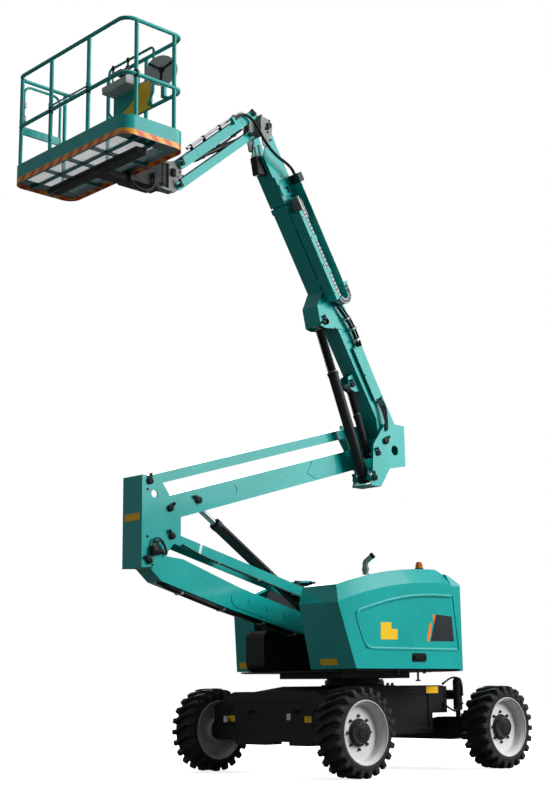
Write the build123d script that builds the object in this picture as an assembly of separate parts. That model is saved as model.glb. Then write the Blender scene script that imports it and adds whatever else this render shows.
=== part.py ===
# Self-propelled articulating boom lift: four-wheel chassis, turntable with hoods and
# counterweight, two-stage parallelogram tower, telescopic main boom, jib and platform.
#
# Units are millimetres. +Z is up, the ground is Z = 0 and the slew axis is the Z axis.
# The booms reach towards -X, and the steered axle and the counterweight are at +X.
# The main boom, jib and platform stand in the plane Y = 0, and the tower beside them.
#
# The pins form a chain: turntable, lower tower boom, mid bracket, upper tower boom, upright,
# main boom, fly, jib mount, jib, end bracket, platform. Each pin is placed from the one
# before it, and each outline is written as offsets from its own pin.

from build123d import *
import os
from math import atan2, cos, degrees, hypot, pi, radians, sin, tan

os.makedirs("parts", exist_ok=True)

# ---------------------------------------------------------------- driving dimensions
# Clearances
running_fit = 0.05          # radial clearance of a shaft in its bore
seat_gap = 0.3              # what a piece keeps from its seat on another body
side_gap = 4                # between the faces of two pieces that turn past each other

# Undercarriage
wheelbase = 2140
wheel_track = 2080
tyre_radius = 420
tyre_width = 300
rim_radius = 300
rim_width = 290
dish_depth = 105            # from the rim's outer edge in to its disc
disc_thickness = 14
hub_radius = 92
hub_proud = 24              # what the hub's face stands inside the rim's outer edge
spindle_radius = 45
spindle_reach = 90
chassis_top = 850
chassis_bottom = 360
chassis_width = 960
drive_box_length = 215      # the drive axle's box, along X
kingpin_y = 800
kingpin_radius = 26
kingpin_fork_gap = 105      # half the space between a fork's two plates
steer_arm_reach = 230       # from a kingpin to the tie rod's pin
lug_y = 330
lug_thickness = 24
lug_reach = 90
lug_bore_radius = 22

# Turntable
slew_radius = 275
slew_ring_height = 60
deck_top = 1000
deck_thickness = 15
deck_rib_height = 60
hood_side = 1100            # the hoods' outer faces, from the slew axis
hood_roof_side = 1000       # where the roof starts, inside the sloping shoulder
hood_top = 2005
hood_wall = 22
hood_hinge_z = 1988
hood_recess = 11            # depth of the panel pressed into a hood's side
near_hood_inner = 460
far_hood_inner = 800
hood_rear = 424             # where hood and counterweight meet
exhaust_x = -190
exhaust_y = -395
exhaust_radius = 30
engine_side = -1000
counterweight_tail = 1050

# Tower: two booms of one length, each with a link that keeps its end upright
tower_y = 250               # the tower's middle plane
tower_boom_length = 3105
lower_root = (367, 1247)            # lower boom's pin in the turntable: X, Z
lower_boom_angle = 14.5     # degrees above level, towards -X
upper_boom_angle = 16.1     # degrees above level, towards +X
link_offset_lower = (273, 250)      # from a boom's pin to its link's pin: X, Z
link_offset_upper = (-249, 242)
boom_to_boom = (250, 516)           # from the lower boom's pin to the upper boom's
tower_boom_width = 220
tower_plate_gap = 300       # outside width of the mid bracket
bracket_plate = 14
tower_link_depth = 100
tower_wall = 9
doubler = 5                 # thickness of the plates welded on the booms' sides
tower_pin_radius = 28
tower_cyl_base_at = (880, 175)      # along the lower boom, across it
tower_cyl_eye_at = (405, 3)         # along the upper boom, across it

# Upright: offsets from the upper tower boom's end pin
boom_pivot_offset = (-152, 89)
lift_base_offset = (-349, -336)
master_base_offset = (-276, -59)
upright_plate = 16
upright_half = 150          # half the outside width of the upright's boom box

# Main boom
boom_angle = 57.8           # degrees above level, towards -X
boom_front = 2800           # along the boom from its pivot
boom_depth = 240
boom_width = 210
boom_under = 55             # from the pivot's line up to the boom's underside
boom_wall = 8
fly_gap = 7                 # wear pads' room between the boom and the fly
fly_inner_end = 260
fly_pivot_at = (3640, 300)  # the jib mount's pin: along the boom, across it
fly_head_depth = 250
fly_wall = 7
boom_pin_radius = 32
lift_pin_radius = 30
lift_eye_at = (1493, -90)
master_pin_radius = 24
master_eye_at = (719, -34)

# Cable tray and track beside the main boom
tray_width = 140
tray_plate = 6
tray_lip = 45
track_width = 110
track_height = 55
upper_tray_lip = 66
lower_tray_span = (1660, 2690)      # along the boom
upper_tray_span = (1650, 3055)
upper_tray_across = 258

# Jib
jib_length = 1275
jib_angle = -39.9
jib_pin_from_mount = (-197, -143)   # from the jib mount's pin to the lower arm's
jib_pin_offset = (20, 236)          # from the lower arm's pin to the upper arm's
jib_pin_radius = 20
jib_mount_pin_radius = 26
jib_arm_depth = 100
jib_upper_width = 150
jib_lower_width = 108
jib_wall = 6
jib_ear_half = 46           # outer faces of the ears inside the arms' forks
jib_eye_half = 25           # half the width of the jib cylinder's eyes
rotator_back = 201          # from the lower arm's rear pin to the platform's axis
rotator_radius = 62
rotator_drop = 54           # the rotator's foot under the lower arm's rear pin
rotator_height = 260

# Platform
platform_near = 385         # from the platform's axis to its nearer side
platform_depth = 730
platform_length = 1840
platform_middle = 34        # the platform's middle along Y
platform_drop = 49          # the platform's underside below the lower arm's rear pin
floor_rise = 30             # the floor's top above the underside
rail_height = 1132          # the top rail's top above the floor
mid_rail_height = 575       # the middle rail's line above the floor
toe_height = 190
rail_radius = 20
toe_plate = 4
corner_radius = 130
rail_bend = 110
gate_width = 436
gate_hinge_offset = 74      # from the rail's end line to the gate's hinge axis

# Free hoses: routes chosen by hand, as X, Y, Z
rotator_hose_radius = 15
jib_hose_radius = 16
rotator_hose = [(-3042, -96, 5640), (-3012, -104, 5606), (-2962, -112, 5584), (-2900, -118, 5580),
                (-2842, -123, 5598), (-2802, -126, 5644), (-2790, -127, 5700), (-2790, -127, 5750)]
jib_hose = [(-1729, -100, 6677), (-1670, -100, 6726), (-1590, -101, 6768), (-1502, -106, 6758),
            (-1434, -120, 6696), (-1388, -140, 6608), (-1340, -160, 6516), (-1268, -178, 6430),
            (-1176, -192, 6366), (-1088, -197, 6338), (-1016, -198, 6306), (-964.6, -197, 6268.4),
            (-935.3, -197, 6222.2)]


# ---------------------------------------------------------------- shape helpers
def block(x0, x1, y0, y1, z0, z1):
    """A box between two corners."""
    size = Box(x1 - x0, y1 - y0, z1 - z0, align=(Align.MIN, Align.MIN, Align.MIN))
    return Pos(x0, y0, z0) * size


def prism(outline, y0, y1):
    """An X-Z outline carried along Y."""
    plane = Plane(origin=(0, y0, 0), x_dir=(1, 0, 0), z_dir=(0, -1, 0))
    return extrude(plane * Polygon(*outline, align=None), amount=y1 - y0, dir=(0, 1, 0))


def slab(outline, z0, z1):
    """An X-Y outline carried up Z."""
    return extrude(Pos(0, 0, z0) * Polygon(*outline, align=None), amount=z1 - z0, dir=(0, 0, 1))


def bulkhead(outline, x0, x1):
    """A Y-Z outline carried along X."""
    plane = Plane(origin=(x0, 0, 0), x_dir=(0, 1, 0), z_dir=(1, 0, 0))
    return extrude(plane * Polygon(*outline, align=None), amount=x1 - x0, dir=(1, 0, 0))


def rod(start, end, radius):
    """A round bar between two points."""
    run = Vector(*end) - Vector(*start)
    plane = Plane(origin=start, z_dir=run)
    return plane * Cylinder(radius, run.length, align=(Align.CENTER, Align.CENTER, Align.MIN))


def cross_pin(point, radius, y0, y1):
    """A round bar along Y at an X-Z point."""
    return rod((point[0], y0, point[1]), (point[0], y1, point[1]), radius)


def pin_ends(point, radius, inner, outer, y=0):
    """The two ends of a pin, either side of an eye that turns between them."""
    return cross_pin(point, radius, y - outer, y - inner) + cross_pin(point, radius, y + inner, y + outer)


def pair(outline, inner, outer, y=0):
    """Two like plates either side of a middle plane."""
    return prism(outline, y - outer, y - inner) + prism(outline, y + inner, y + outer)


def shift(point, offset):
    return (point[0] + offset[0], point[1] + offset[1])


def around(point, offsets):
    """An outline written as offsets from a pin."""
    return [shift(point, offset) for offset in offsets]


class Member:
    """A straight piece in an X-Z plane: along runs down its line, across to its left."""

    def __init__(self, start, angle, heading):
        self.start = start
        self.along = (heading * cos(radians(angle)), sin(radians(angle)))
        self.across = (sin(radians(angle)), -heading * cos(radians(angle)))
        if heading > 0:
            self.across = (-sin(radians(angle)), cos(radians(angle)))

    def at(self, along, across=0):
        x = self.start[0] + along * self.along[0] + across * self.across[0]
        z = self.start[1] + along * self.along[1] + across * self.across[1]
        return (x, z)

    def outline(self, points):
        return [self.at(a, b) for a, b in points]

    def bar(self, a0, a1, b0, b1, y0, y1):
        """A straight bar from along a0 to a1 and across b0 to b1."""
        return prism(self.outline([(a0, b0), (a1, b0), (a1, b1), (a0, b1)]), y0, y1)

    def tube(self, a0, a1, b0, b1, y0, y1, wall):
        """A rectangular tube, open at both ends."""
        shell = self.bar(a0, a1, b0, b1, y0, y1)
        return shell - self.bar(a0 - 1, a1 + 1, b0 + wall, b1 - wall, y0 + wall, y1 - wall)


def save(name, shape):
    export_step(shape, f"parts/{name}.step")


def whole(*shapes):
    """Several solids as one node."""
    return Compound(children=list(shapes))


def mirrored(outline):
    """Half an outline with its mirror image added, last point first."""
    return outline + [(-a, b) for a, b in reversed(outline)]


def ordered(a, b):
    return min(a, b), max(a, b)


# ---------------------------------------------------------------- where the pins are
lower_boom = Member(lower_root, lower_boom_angle, -1)
lower_pin = lower_boom.at(tower_boom_length)
upper_pin = shift(lower_pin, boom_to_boom)
upper_boom = Member(upper_pin, upper_boom_angle, 1)
upper_end = upper_boom.at(tower_boom_length)
lower_link_pin = shift(lower_pin, link_offset_lower)
lower_link_root = shift(lower_root, link_offset_lower)
upper_link_pin = shift(upper_pin, link_offset_upper)
upper_link_end = shift(upper_end, link_offset_upper)
lower_link = Member(lower_link_root, lower_boom_angle, -1)
upper_link = Member(upper_link_pin, upper_boom_angle, 1)
tower_cyl_base = lower_boom.at(*tower_cyl_base_at)
tower_cyl_eye = upper_boom.at(*tower_cyl_eye_at)
boom_pivot = shift(upper_end, boom_pivot_offset)
lift_base = shift(upper_end, lift_base_offset)
master_base = shift(upper_end, master_base_offset)
main = Member(boom_pivot, boom_angle, -1)
lift_eye = main.at(*lift_eye_at)
master_eye = main.at(*master_eye_at)
jib_mount_pin = main.at(*fly_pivot_at)
jib_lower_pin = shift(jib_mount_pin, jib_pin_from_mount)
jib_upper_pin = shift(jib_lower_pin, jib_pin_offset)
jib_upper = Member(jib_upper_pin, jib_angle, -1)
jib_lower = Member(jib_lower_pin, jib_angle, -1)
jib_upper_rear = jib_upper.at(jib_length)
jib_lower_rear = jib_lower.at(jib_length)
rotator_x = jib_lower_rear[0] - rotator_back
tower_low_y = tower_y - tower_plate_gap / 2
tower_high_y = tower_y + tower_plate_gap / 2
axle_x = wheelbase / 2


# ---------------------------------------------------------------- wheels
def wheel_pieces(x, side):
    """Tyre and rim with its planetary hub, for the wheel at x on the side of sign side."""
    centre = side * wheel_track / 2
    outer = rim_width / 2
    disc = outer - dish_depth
    wall = 9
    tyre_half = tyre_width / 2
    # tyre section: radius, offset outwards from the wheel's middle
    tyre_line = [(rim_radius, -tyre_half + 12), (rim_radius + 45, -tyre_half),
                 (tyre_radius - 38, -tyre_half), (tyre_radius, -tyre_half + 34),
                 (tyre_radius, tyre_half - 34), (tyre_radius - 38, tyre_half),
                 (rim_radius + 45, tyre_half), (rim_radius, tyre_half - 12)]
    # rim section: barrel, turned-out lips, dished disc and hub case with its spindle bore
    rim_line = [(spindle_radius + running_fit, -outer + 20), (hub_radius + 26, -outer + 20),
                (hub_radius + 26, disc - disc_thickness), (rim_radius - 40, disc - disc_thickness),
                (rim_radius - 26, -outer + 40), (rim_radius - wall, -outer),
                (rim_radius - seat_gap, -outer), (rim_radius - seat_gap, outer),
                (rim_radius - 12, outer), (rim_radius - 22, outer - 14), (rim_radius - 34, outer - 34),
                (rim_radius - 46, disc), (hub_radius + 40, disc), (hub_radius + 40, disc + 16),
                (hub_radius, disc + 24), (hub_radius, outer - hub_proud - 12),
                (hub_radius - 14, outer - hub_proud), (0, outer - hub_proud),
                (0, -outer + 20 + spindle_reach),
                (spindle_radius + running_fit, -outer + 20 + spindle_reach)]
    pieces = []
    for line in (tyre_line, rim_line):
        face = Plane.YZ * Polygon(*[(side * b, a) for a, b in line], align=None)
        pieces.append(Pos(x, centre, tyre_radius) * revolve(face, Axis.Y))
    return pieces


wheel_names = {(-1, -1): "drive_right", (-1, 1): "drive_left",
               (1, -1): "steer_right", (1, 1): "steer_left"}
for (end, side), wheel_name in wheel_names.items():
    tyre, rim = wheel_pieces(end * axle_x, side)
    save(f"tyre_{wheel_name}", tyre)
    save(f"rim_{wheel_name}", rim)

hub_back = wheel_track / 2 - rim_width / 2 + 20     # the hub case's inner face
tyre_inner = wheel_track / 2 - tyre_width / 2       # the tyre's inner face


# ---------------------------------------------------------------- chassis and axles
def tie_down_lug(x, end, side, z):
    """A level lug with an upright shackle hole, standing out of an end face at x."""
    y = side * lug_y
    tip = x + end * lug_reach
    outline = [(x, y - 55), (tip - end * 30, y - 42), (tip, y - 18), (tip, y + 18),
               (tip - end * 30, y + 42), (x, y + 55)]
    lug = slab(outline, z - lug_thickness / 2, z + lug_thickness / 2)
    hole_x = x + end * (lug_reach - lug_bore_radius - 16)
    return lug - rod((hole_x, y, z - lug_thickness), (hole_x, y, z + lug_thickness), lug_bore_radius)


half = chassis_width / 2
frame_front = -axle_x - 105 + drive_box_length
frame_back = axle_x - 130
bracket_back = axle_x + 15
drive_face = -axle_x - 105
belly = 565                 # the frame's underside over the steered axle
frame_side = [(frame_front + 60, chassis_bottom), (frame_back - 240, chassis_bottom),
              (frame_back - 240, belly), (frame_back, belly), (frame_back, chassis_top - 12),
              (frame_back - 120, chassis_top), (frame_front + 400, chassis_top),
              (frame_front, chassis_top - 50), (frame_front, chassis_bottom + 60)]
frame = prism(frame_side, -half, half)
web_depth = 10
for side in (-1, 1):
    # long recesses that leave the side webs standing between flanges
    y0, y1 = ordered(side * half, side * (half - web_depth))
    frame -= block(frame_front + 190, frame_back - 300, y0, y1, chassis_bottom + 60, chassis_top - 90)
frame -= block(frame_front + 120, frame_back - 300, -half + 60, half - 60, chassis_bottom - 60, 700)
frame += Pos(0, 0, chassis_top - 6) * Cylinder(slew_radius + 60, 12)
# end bracket over the steered axle, with the trunnion that carries its beam
trunnion_z = 425
frame += block(frame_back, bracket_back, -half, half, 700, 800)
frame += block(frame_back - 220, frame_back + 15, -80, 80, trunnion_z - 40, belly)
frame += rod((frame_back + 10, 0, trunnion_z), (axle_x - 75 - seat_gap, 0, trunnion_z), 62)
for side in (-1, 1):
    frame += tie_down_lug(bracket_back, 1, side, 750)
ring_bottom = chassis_top
ring_middle = Pos(0, 0, ring_bottom + slew_ring_height / 2)
frame += ring_middle * Cylinder(slew_radius + 20, slew_ring_height)
frame -= ring_middle * Cylinder(slew_radius - 95, slew_ring_height + 80)
save("chassis_frame", frame)

# fixed drive axle: a deep cross box with sloping shoulders and wheel motors at its ends
axle_face = tyre_inner - 30
drive_half = [(525, 285), (560, 330), (axle_face, 345), (axle_face, 655), (680, 764), (550, 800)]
drive = bulkhead(mirrored(drive_half)[::-1], drive_face, frame_front - seat_gap)
# the front plate is pressed in between its flanges, with a slot at its foot
drive -= bulkhead([(-500, 380), (500, 380), (640, 560), (640, 640), (500, 700), (-500, 700), (-640, 640),
                   (-640, 560)], drive_face - 1, drive_face + 9)
drive -= block(drive_face - 1, frame_front + 1, -250, 80, 284, 318)
lug_z = 610
for side in (-1, 1):
    drive += rod((-axle_x, side * (axle_face - 5), tyre_radius),
                 (-axle_x, side * (hub_back - side_gap), tyre_radius), 105)
    drive += rod((-axle_x, side * (hub_back - side_gap - 1), tyre_radius),
                 (-axle_x, side * (hub_back + spindle_reach - 6), tyre_radius), spindle_radius)
    drive += tie_down_lug(drive_face + 12, -1, side, lug_z)
save("drive_axle", drive)

# steered axle: a cross beam on a trunnion, with forked ends for the kingpins
beam_half = kingpin_y - 120
fork_low, fork_high = tyre_radius - kingpin_fork_gap, tyre_radius + kingpin_fork_gap
beam_line = [(beam_half, 320), (beam_half, 520), (300, 520), (200, 500), (-200, 500), (-300, 520),
             (-beam_half, 520), (-beam_half, 320), (-480, 285), (480, 285)]
beam = bulkhead(beam_line[::-1], axle_x - 75, axle_x + 75)
for side in (-1, 1):
    for z0 in (fork_low - 30, fork_high):
        outline = [(axle_x - 75, side * (beam_half - 10)), (axle_x + 75, side * (beam_half - 10)),
                   (axle_x + 52, side * (kingpin_y + 45)), (axle_x - 52, side * (kingpin_y + 45))]
        beam += slab(outline, z0, z0 + 30)
    y0, y1 = ordered(side * (beam_half - 60), side * beam_half)
    beam += block(axle_x - 75, axle_x + 75, y0, y1, fork_low - 30, fork_high + 30)
    beam -= rod((axle_x, side * kingpin_y, 200), (axle_x, side * kingpin_y, 700),
                kingpin_radius + running_fit)
# steering cylinder: its base is pinned to the beam, its eye hangs under the right-hand arm
steer_z = tyre_radius - 48
steer_pin_radius = 12
steer_base = (axle_x + 118, 150)
steer_eye = (axle_x + 150, 28 - kingpin_y)
for z0 in (steer_z - 38, steer_z + 24):
    beam += slab([(axle_x + 70, 105), (axle_x + 70, 195), (steer_base[0] + 12, 176),
                  (steer_base[0] + 26, 150), (steer_base[0] + 12, 124)], z0, z0 + 14)
beam += rod((*steer_base, steer_z - 40), (*steer_base, steer_z + 30), steer_pin_radius)
save("steer_axle", beam)

# oscillation cylinders stand on the beam and reach up beside the chassis's end bracket
stands = []
post_x = axle_x - 45
for side in (-1, 1):
    y = side * (half + 80)
    post = rod((post_x, y, 520 + seat_gap), (post_x, y, 600), 26)
    post += rod((post_x, y, 590), (post_x, y, 905), 48)
    post += rod((post_x, y, 900), (post_x, y, 925), 38)
    y0, y1 = ordered(side * (half + seat_gap), y - side * 20)
    stands.append(post + block(post_x - 40, post_x + 40, y0, y1, 720, 780))
save("axle_cylinders", whole(*stands))

arm_half = 20
arm_x = axle_x + steer_arm_reach
for side, name in ((-1, "right"), (1, "left")):
    pin_y = side * kingpin_y
    knuckle = rod((axle_x, pin_y, fork_low + side_gap / 2), (axle_x, pin_y, fork_high - side_gap / 2), 58)
    knuckle += rod((axle_x, pin_y, tyre_radius),
                   (axle_x, side * (hub_back - side_gap), tyre_radius), 95)
    knuckle += rod((axle_x, side * (hub_back - side_gap - 1), tyre_radius),
                   (axle_x, side * (hub_back + spindle_reach - 6), tyre_radius), spindle_radius)
    knuckle += rod((axle_x, pin_y, fork_low - 34), (axle_x, pin_y, fork_high + 34), kingpin_radius)
    arm = [(axle_x + 30, pin_y - side * 40), (axle_x + 30, pin_y + side * 30), (arm_x, pin_y + side * 26),
           (arm_x + 26, pin_y), (arm_x, pin_y - side * 26)]
    knuckle += slab(arm, tyre_radius - arm_half, tyre_radius + arm_half)
    knuckle -= rod((arm_x, pin_y, 300), (arm_x, pin_y, 600), steer_pin_radius + running_fit)
    save(f"knuckle_{name}", knuckle)

tie_z = tyre_radius + arm_half + 22
tie = rod((arm_x, -kingpin_y + 10, tie_z), (arm_x, kingpin_y - 10, tie_z), 17)
for side in (-1, 1):
    pin_y = side * kingpin_y
    tie += rod((arm_x, pin_y, tie_z - 20), (arm_x, pin_y, tie_z + 20), 26)
    tie += rod((arm_x, pin_y, tyre_radius - arm_half - 4), (arm_x, pin_y, tie_z), steer_pin_radius)
save("tie_rod", tie)

steer_run = Vector(steer_eye[0] - steer_base[0], steer_eye[1] - steer_base[1], 0)
steer_aim = steer_run.normalized()


def on_steer(along):
    return (steer_base[0] + steer_aim.X * along, steer_base[1] + steer_aim.Y * along, steer_z)


steer_barrel = rod(on_steer(22), on_steer(steer_run.length * 0.62), 22)
steer_barrel += Pos(*on_steer(0)) * Cylinder(27, 40)
steer_barrel -= rod(on_steer(60), on_steer(steer_run.length), 14 + running_fit)
steer_barrel -= Pos(*on_steer(0)) * Cylinder(steer_pin_radius + running_fit, 60)
save("steer_cylinder_barrel", steer_barrel)
steer_rod = rod(on_steer(steer_run.length * 0.42), on_steer(steer_run.length - 18), 14)
steer_rod += Pos(*on_steer(steer_run.length)) * Cylinder(26, 40)
save("steer_cylinder_rod", steer_rod)

# ---------------------------------------------------------------- slew bearing and turntable
drum_bottom = ring_bottom + slew_ring_height + seat_gap
deck_bottom = deck_top - deck_thickness
notch_half = 445            # the counterweight's notch for the tower's foot
notch_back = 775
deck_outline = [(-1040, 50 - hood_side), (hood_rear - 10, 50 - hood_side),
                (hood_rear - 10, hood_side - 50), (-600, hood_side - 50), (-600, far_hood_inner),
                (-860, far_hood_inner), (-860, -near_hood_inner + 20), (-1040, -near_hood_inner - 10)]
table = slab(deck_outline, deck_bottom, deck_top)
table += Pos(0, 0, (drum_bottom + deck_bottom) / 2) * Cylinder(slew_radius, deck_bottom - drum_bottom)
# ribs under the deck: x0, x1, y0, y1
for x0, x1, y0, y1 in ((-640, 400, -440, -400), (-640, 400, 400, 440), (-640, -600, -400, 400),
                       (360, 400, -400, 400)):
    table += block(x0, x1, y0, y1, deck_bottom - deck_rib_height, deck_bottom)
table += slab([(hood_rear - 20, 15 - notch_half), (notch_back - seat_gap, 15 - notch_half),
               (notch_back - seat_gap, notch_half - 15), (hood_rear - 20, notch_half - 15)],
              deck_bottom, deck_top)
# tower posts: two upright plates that carry the lower boom's and link's pins
post_plate = 16
post_low, post_high = tower_low_y - side_gap - post_plate, tower_high_y + side_gap + post_plate
post_back = lower_root[0] + 393
post_side = [(-60, deck_top), (120, lower_root[1] + 83)] + around(
    lower_link_root, [(-200, 93), (-120, 143), (60, 143), (120, 63)]) + [(post_back, deck_top)]
for y0 in (post_low, post_high - post_plate):
    table += prism(post_side, y0, y0 + post_plate)
table += block(post_back - 16, post_back, post_low + 1, post_high - 1, deck_top, lower_link_root[1])
# walls that carry the hoods' hinges: sign, hood's inner edge, wall's top
for sign, inner, wall_top in ((-1, near_hood_inner, 1890), (1, far_hood_inner, 1950)):
    face = sign * (inner - 20)
    y0, y1 = ordered(face, face - sign * 10)
    wall_side = [(-560, deck_top), (-560, 1700), (-420, wall_top), (200, wall_top), (300, 1700),
                 (hood_rear - 60, 1500), (hood_rear - 60, deck_top)]
    table += prism(wall_side, y0, y1)
    for x0 in (-60, 180):
        table += block(x0, x0 + 60, y0, y1, 1780, hood_hinge_z + 4)
        table += block(x0, x0 + 60, *ordered(face, face + sign * 12), hood_hinge_z - 8, hood_hinge_z + 4)
        pin_line = sign * (inner - 9.5)
        table += rod((x0, pin_line, hood_hinge_z), (x0 + 60, pin_line, hood_hinge_z), 9)
exhaust_entry_z = 1480
table -= cross_pin((exhaust_x, exhaust_entry_z), exhaust_radius + 6, -near_hood_inner, exhaust_y + 30)
for root_point in (lower_root, lower_link_root):
    table += cross_pin(root_point, tower_pin_radius, post_low - 14, post_high + 14)
save("turntable_frame", table)

# ---------------------------------------------------------------- hoods
hood_foot = deck_top + 8
# the sections of each hood, from its outer face to its inner edge, as X and Z
# columns: y, foot x, bend, brow, crown, crown's back end, heel, knee's x
near_sections = [
    (hood_side, -1099, (-1331, 1619), (-1329, 1627), (-568, 1807), (231, 1861), (336, 1841)),
    (hood_roof_side, -1094, (-1311, 1622), (-1250, 1797), (-379, 1973), (200, hood_top), (322, 1960)),
    (near_hood_inner, -1069, (-1220, 1636), (-1162, 1800), (-450, 1945), (200, hood_top), (322, 1960))]
far_sections = [
    (hood_side, -650, (-690, 1637), (-688, 1645), (-250, 1815), (231, 1861), (336, 1841)),
    (hood_roof_side, -655, (-692, 1630), (-640, 1830), (-200, 1975), (200, hood_top), (322, 1960)),
    (far_hood_inner, -667, (-699, 1602), (-650, 1830), (-200, 1965), (200, hood_top), (322, 1960))]


def hood_loft(sections, side, inset):
    """The body under a hood's skin, or the room inside it when inset is the wall.

    The room runs out through the rear, so a hood is open towards the counterweight.
    """
    wires = []
    for y, foot, bend, brow, crown, back, heel in sections:
        if inset:
            if y == hood_side:
                y -= inset
            elif y == hood_roof_side:
                y -= inset * 0.4
            else:
                y -= 5
        low, rear = hood_foot, 0
        if inset:
            low, rear = hood_foot - 10, 20
        points = [(foot + inset, low), (bend[0] + inset * 1.1, bend[1]), (brow[0] + inset, brow[1] - inset),
                  (crown[0], crown[1] - inset), (back[0] + rear, back[1] - inset),
                  (heel[0] + rear, heel[1] - inset), (hood_rear + rear, 1159), (hood_rear + rear, low)]
        p = [Vector(x, side * y, z) for x, z in points]
        edges = [Edge.make_line(p[0], p[1]), Edge.make_line(p[1], p[2]),
                 Edge.make_three_point_arc(p[2], p[3], p[4]), Edge.make_line(p[4], p[5]),
                 Edge.make_line(p[5], p[6]), Edge.make_line(p[6], p[7]), Edge.make_line(p[7], p[0])]
        wires.append(Wire(edges))
    return Solid.make_loft(wires, ruled=True)


def hood_shell(sections, side, recess_line):
    """One hood: outer side, shoulder, front, roof and rear, open below and inwards."""
    outer = hood_loft(sections, side, 0)
    shell = outer - hood_loft(sections, side, hood_wall)
    face = side * hood_side
    shell -= prism(recess_line, *ordered(face - side * hood_recess, face + side))
    return shell


# the pressed panel in each side: its top follows the shoulder and its front leans with the hood's
near_recess = [(-964, 1194), (-1105, 1520), (-1090, 1545), (-849, 1607), (-573, 1672), (-290, 1716),
               (0, 1736), (360, 1736), (hood_rear + 1, 1194)]
far_recess = [(-540, 1194), (-560, 1560), (-400, 1640), (-290, 1690), (0, 1736), (360, 1736),
              (hood_rear + 1, 1194)]
near_body = hood_loft(near_sections, -1, 0)
save("hood_right", hood_shell(near_sections, -1, near_recess))
save("hood_left", hood_shell(far_sections, 1, far_recess))

# counterweight: its tail is one arc about the slew axis, and its brow carries on the roofs
tail_corner = hood_side - 5
tail_face = hood_rear + 6
with BuildSketch() as tail:
    with BuildLine():
        Line((tail_face - 110, tail_corner), (tail_face + 40, tail_corner))
        Line((tail_face + 40, tail_corner), (tail_face + 120, tail_corner - 60))
        ThreePointArc((tail_face + 120, tail_corner - 60), (counterweight_tail, 0),
                      (tail_face + 120, 60 - tail_corner))
        Line((tail_face + 120, 60 - tail_corner), (tail_face + 40, -tail_corner))
        Line((tail_face + 40, -tail_corner), (tail_face - 110, -tail_corner))
        Line((tail_face - 110, -tail_corner), (tail_face - 110, tail_corner))
    make_face()
weight_foot = deck_top - 10
weight = extrude(Pos(0, 0, weight_foot) * tail.sketch, amount=hood_top - weight_foot, dir=(0, 0, 1))
weight_side = [(tail_face, weight_foot), (tail_face, 1159), (342, 1841), (328, 1962), (370, 1947),
               (488, 1859), (900, 1700), (1100, 1640), (1100, weight_foot)]
weight &= prism(weight_side, -hood_side, hood_side)
weight &= bulkhead(mirrored([(tail_corner, weight_foot), (tail_corner, 1841), (hood_roof_side, hood_top)]),
                   0, 1200)
weight -= block(hood_rear - 200, notch_back, -notch_half, notch_half, weight_foot - 1, hood_top + 1)
save("counterweight", weight)

# what stands on the deck behind the hoods
engine = block(-620, 120, engine_side, exhaust_y - 135, deck_top + seat_gap, 1560)
save("engine_block", fillet(engine.edges().filter_by(Axis.Z), 30))
tank = block(-840, -240, 460, far_hood_inner - 60, deck_top + seat_gap, 1430)
tank = fillet(tank.edges().filter_by(Axis.Y), 90)
tank += rod((-680, 600, 1420), (-680, 600, 1460), 45)
save("hydraulic_tank", tank)
with BuildLine() as pipe_line:
    FilletPolyline((exhaust_x, exhaust_y - 135 + seat_gap, exhaust_entry_z),
                   (exhaust_x, exhaust_y, exhaust_entry_z), (exhaust_x, exhaust_y, 2110),
                   (exhaust_x + 45, exhaust_y - 75, 2180), radius=42)
pipe_profile = Plane(origin=pipe_line.line @ 0, z_dir=pipe_line.line % 0) * (
    Circle(exhaust_radius) - Circle(exhaust_radius - 4))
save("exhaust_pipe", sweep(pipe_profile, path=pipe_line.line))
beacon_at = (30, -935)
beacon = rod((*beacon_at, hood_top - 20), (*beacon_at, hood_top + 14), 36) - near_body
dome = [(0, 14), (32, 14), (32, 46), (24, 62), (0, 68)]
beacon += Pos(*beacon_at, hood_top) * revolve(Plane.XZ * Polygon(*dome, align=None), Axis.Z)
save("beacon", beacon)

# ---------------------------------------------------------------- tower
half_width = tower_boom_width / 2
ty0, ty1 = tower_y - half_width, tower_y + half_width
tower_bore = tower_pin_radius + running_fit
reach = tower_boom_length


def slot_plate(member, a0, a1, b, radius, y0, y1):
    """A plate with half-round ends on a boom's side: a stadium from a0 to a1."""
    plate = member.bar(a0, a1, b - radius, b + radius, y0, y1)
    return plate + cross_pin(member.at(a0, b), radius, y0, y1) + cross_pin(member.at(a1, b), radius, y0, y1)


lower_outline = [(-110, -90), (-110, 60), (-60, 105), (1900, 98), (2280, 122), (reach - 425, 150),
                 (reach - 70, 90), (reach + 10, 64), (reach + 50, 42), (reach + 66, 0), (reach + 50, -42),
                 (reach - 65, -55), (reach - 225, -132), (1960, -143), (880, -112), (60, -100)]
lower = prism(lower_boom.outline(lower_outline), ty0, ty1)
lower -= prism(lower_boom.outline([(60, -88), (60, 95), (1900, 88), (reach - 150, 80), (reach - 250, -110)]),
               ty0 + tower_wall, ty1 - tower_wall)
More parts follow.
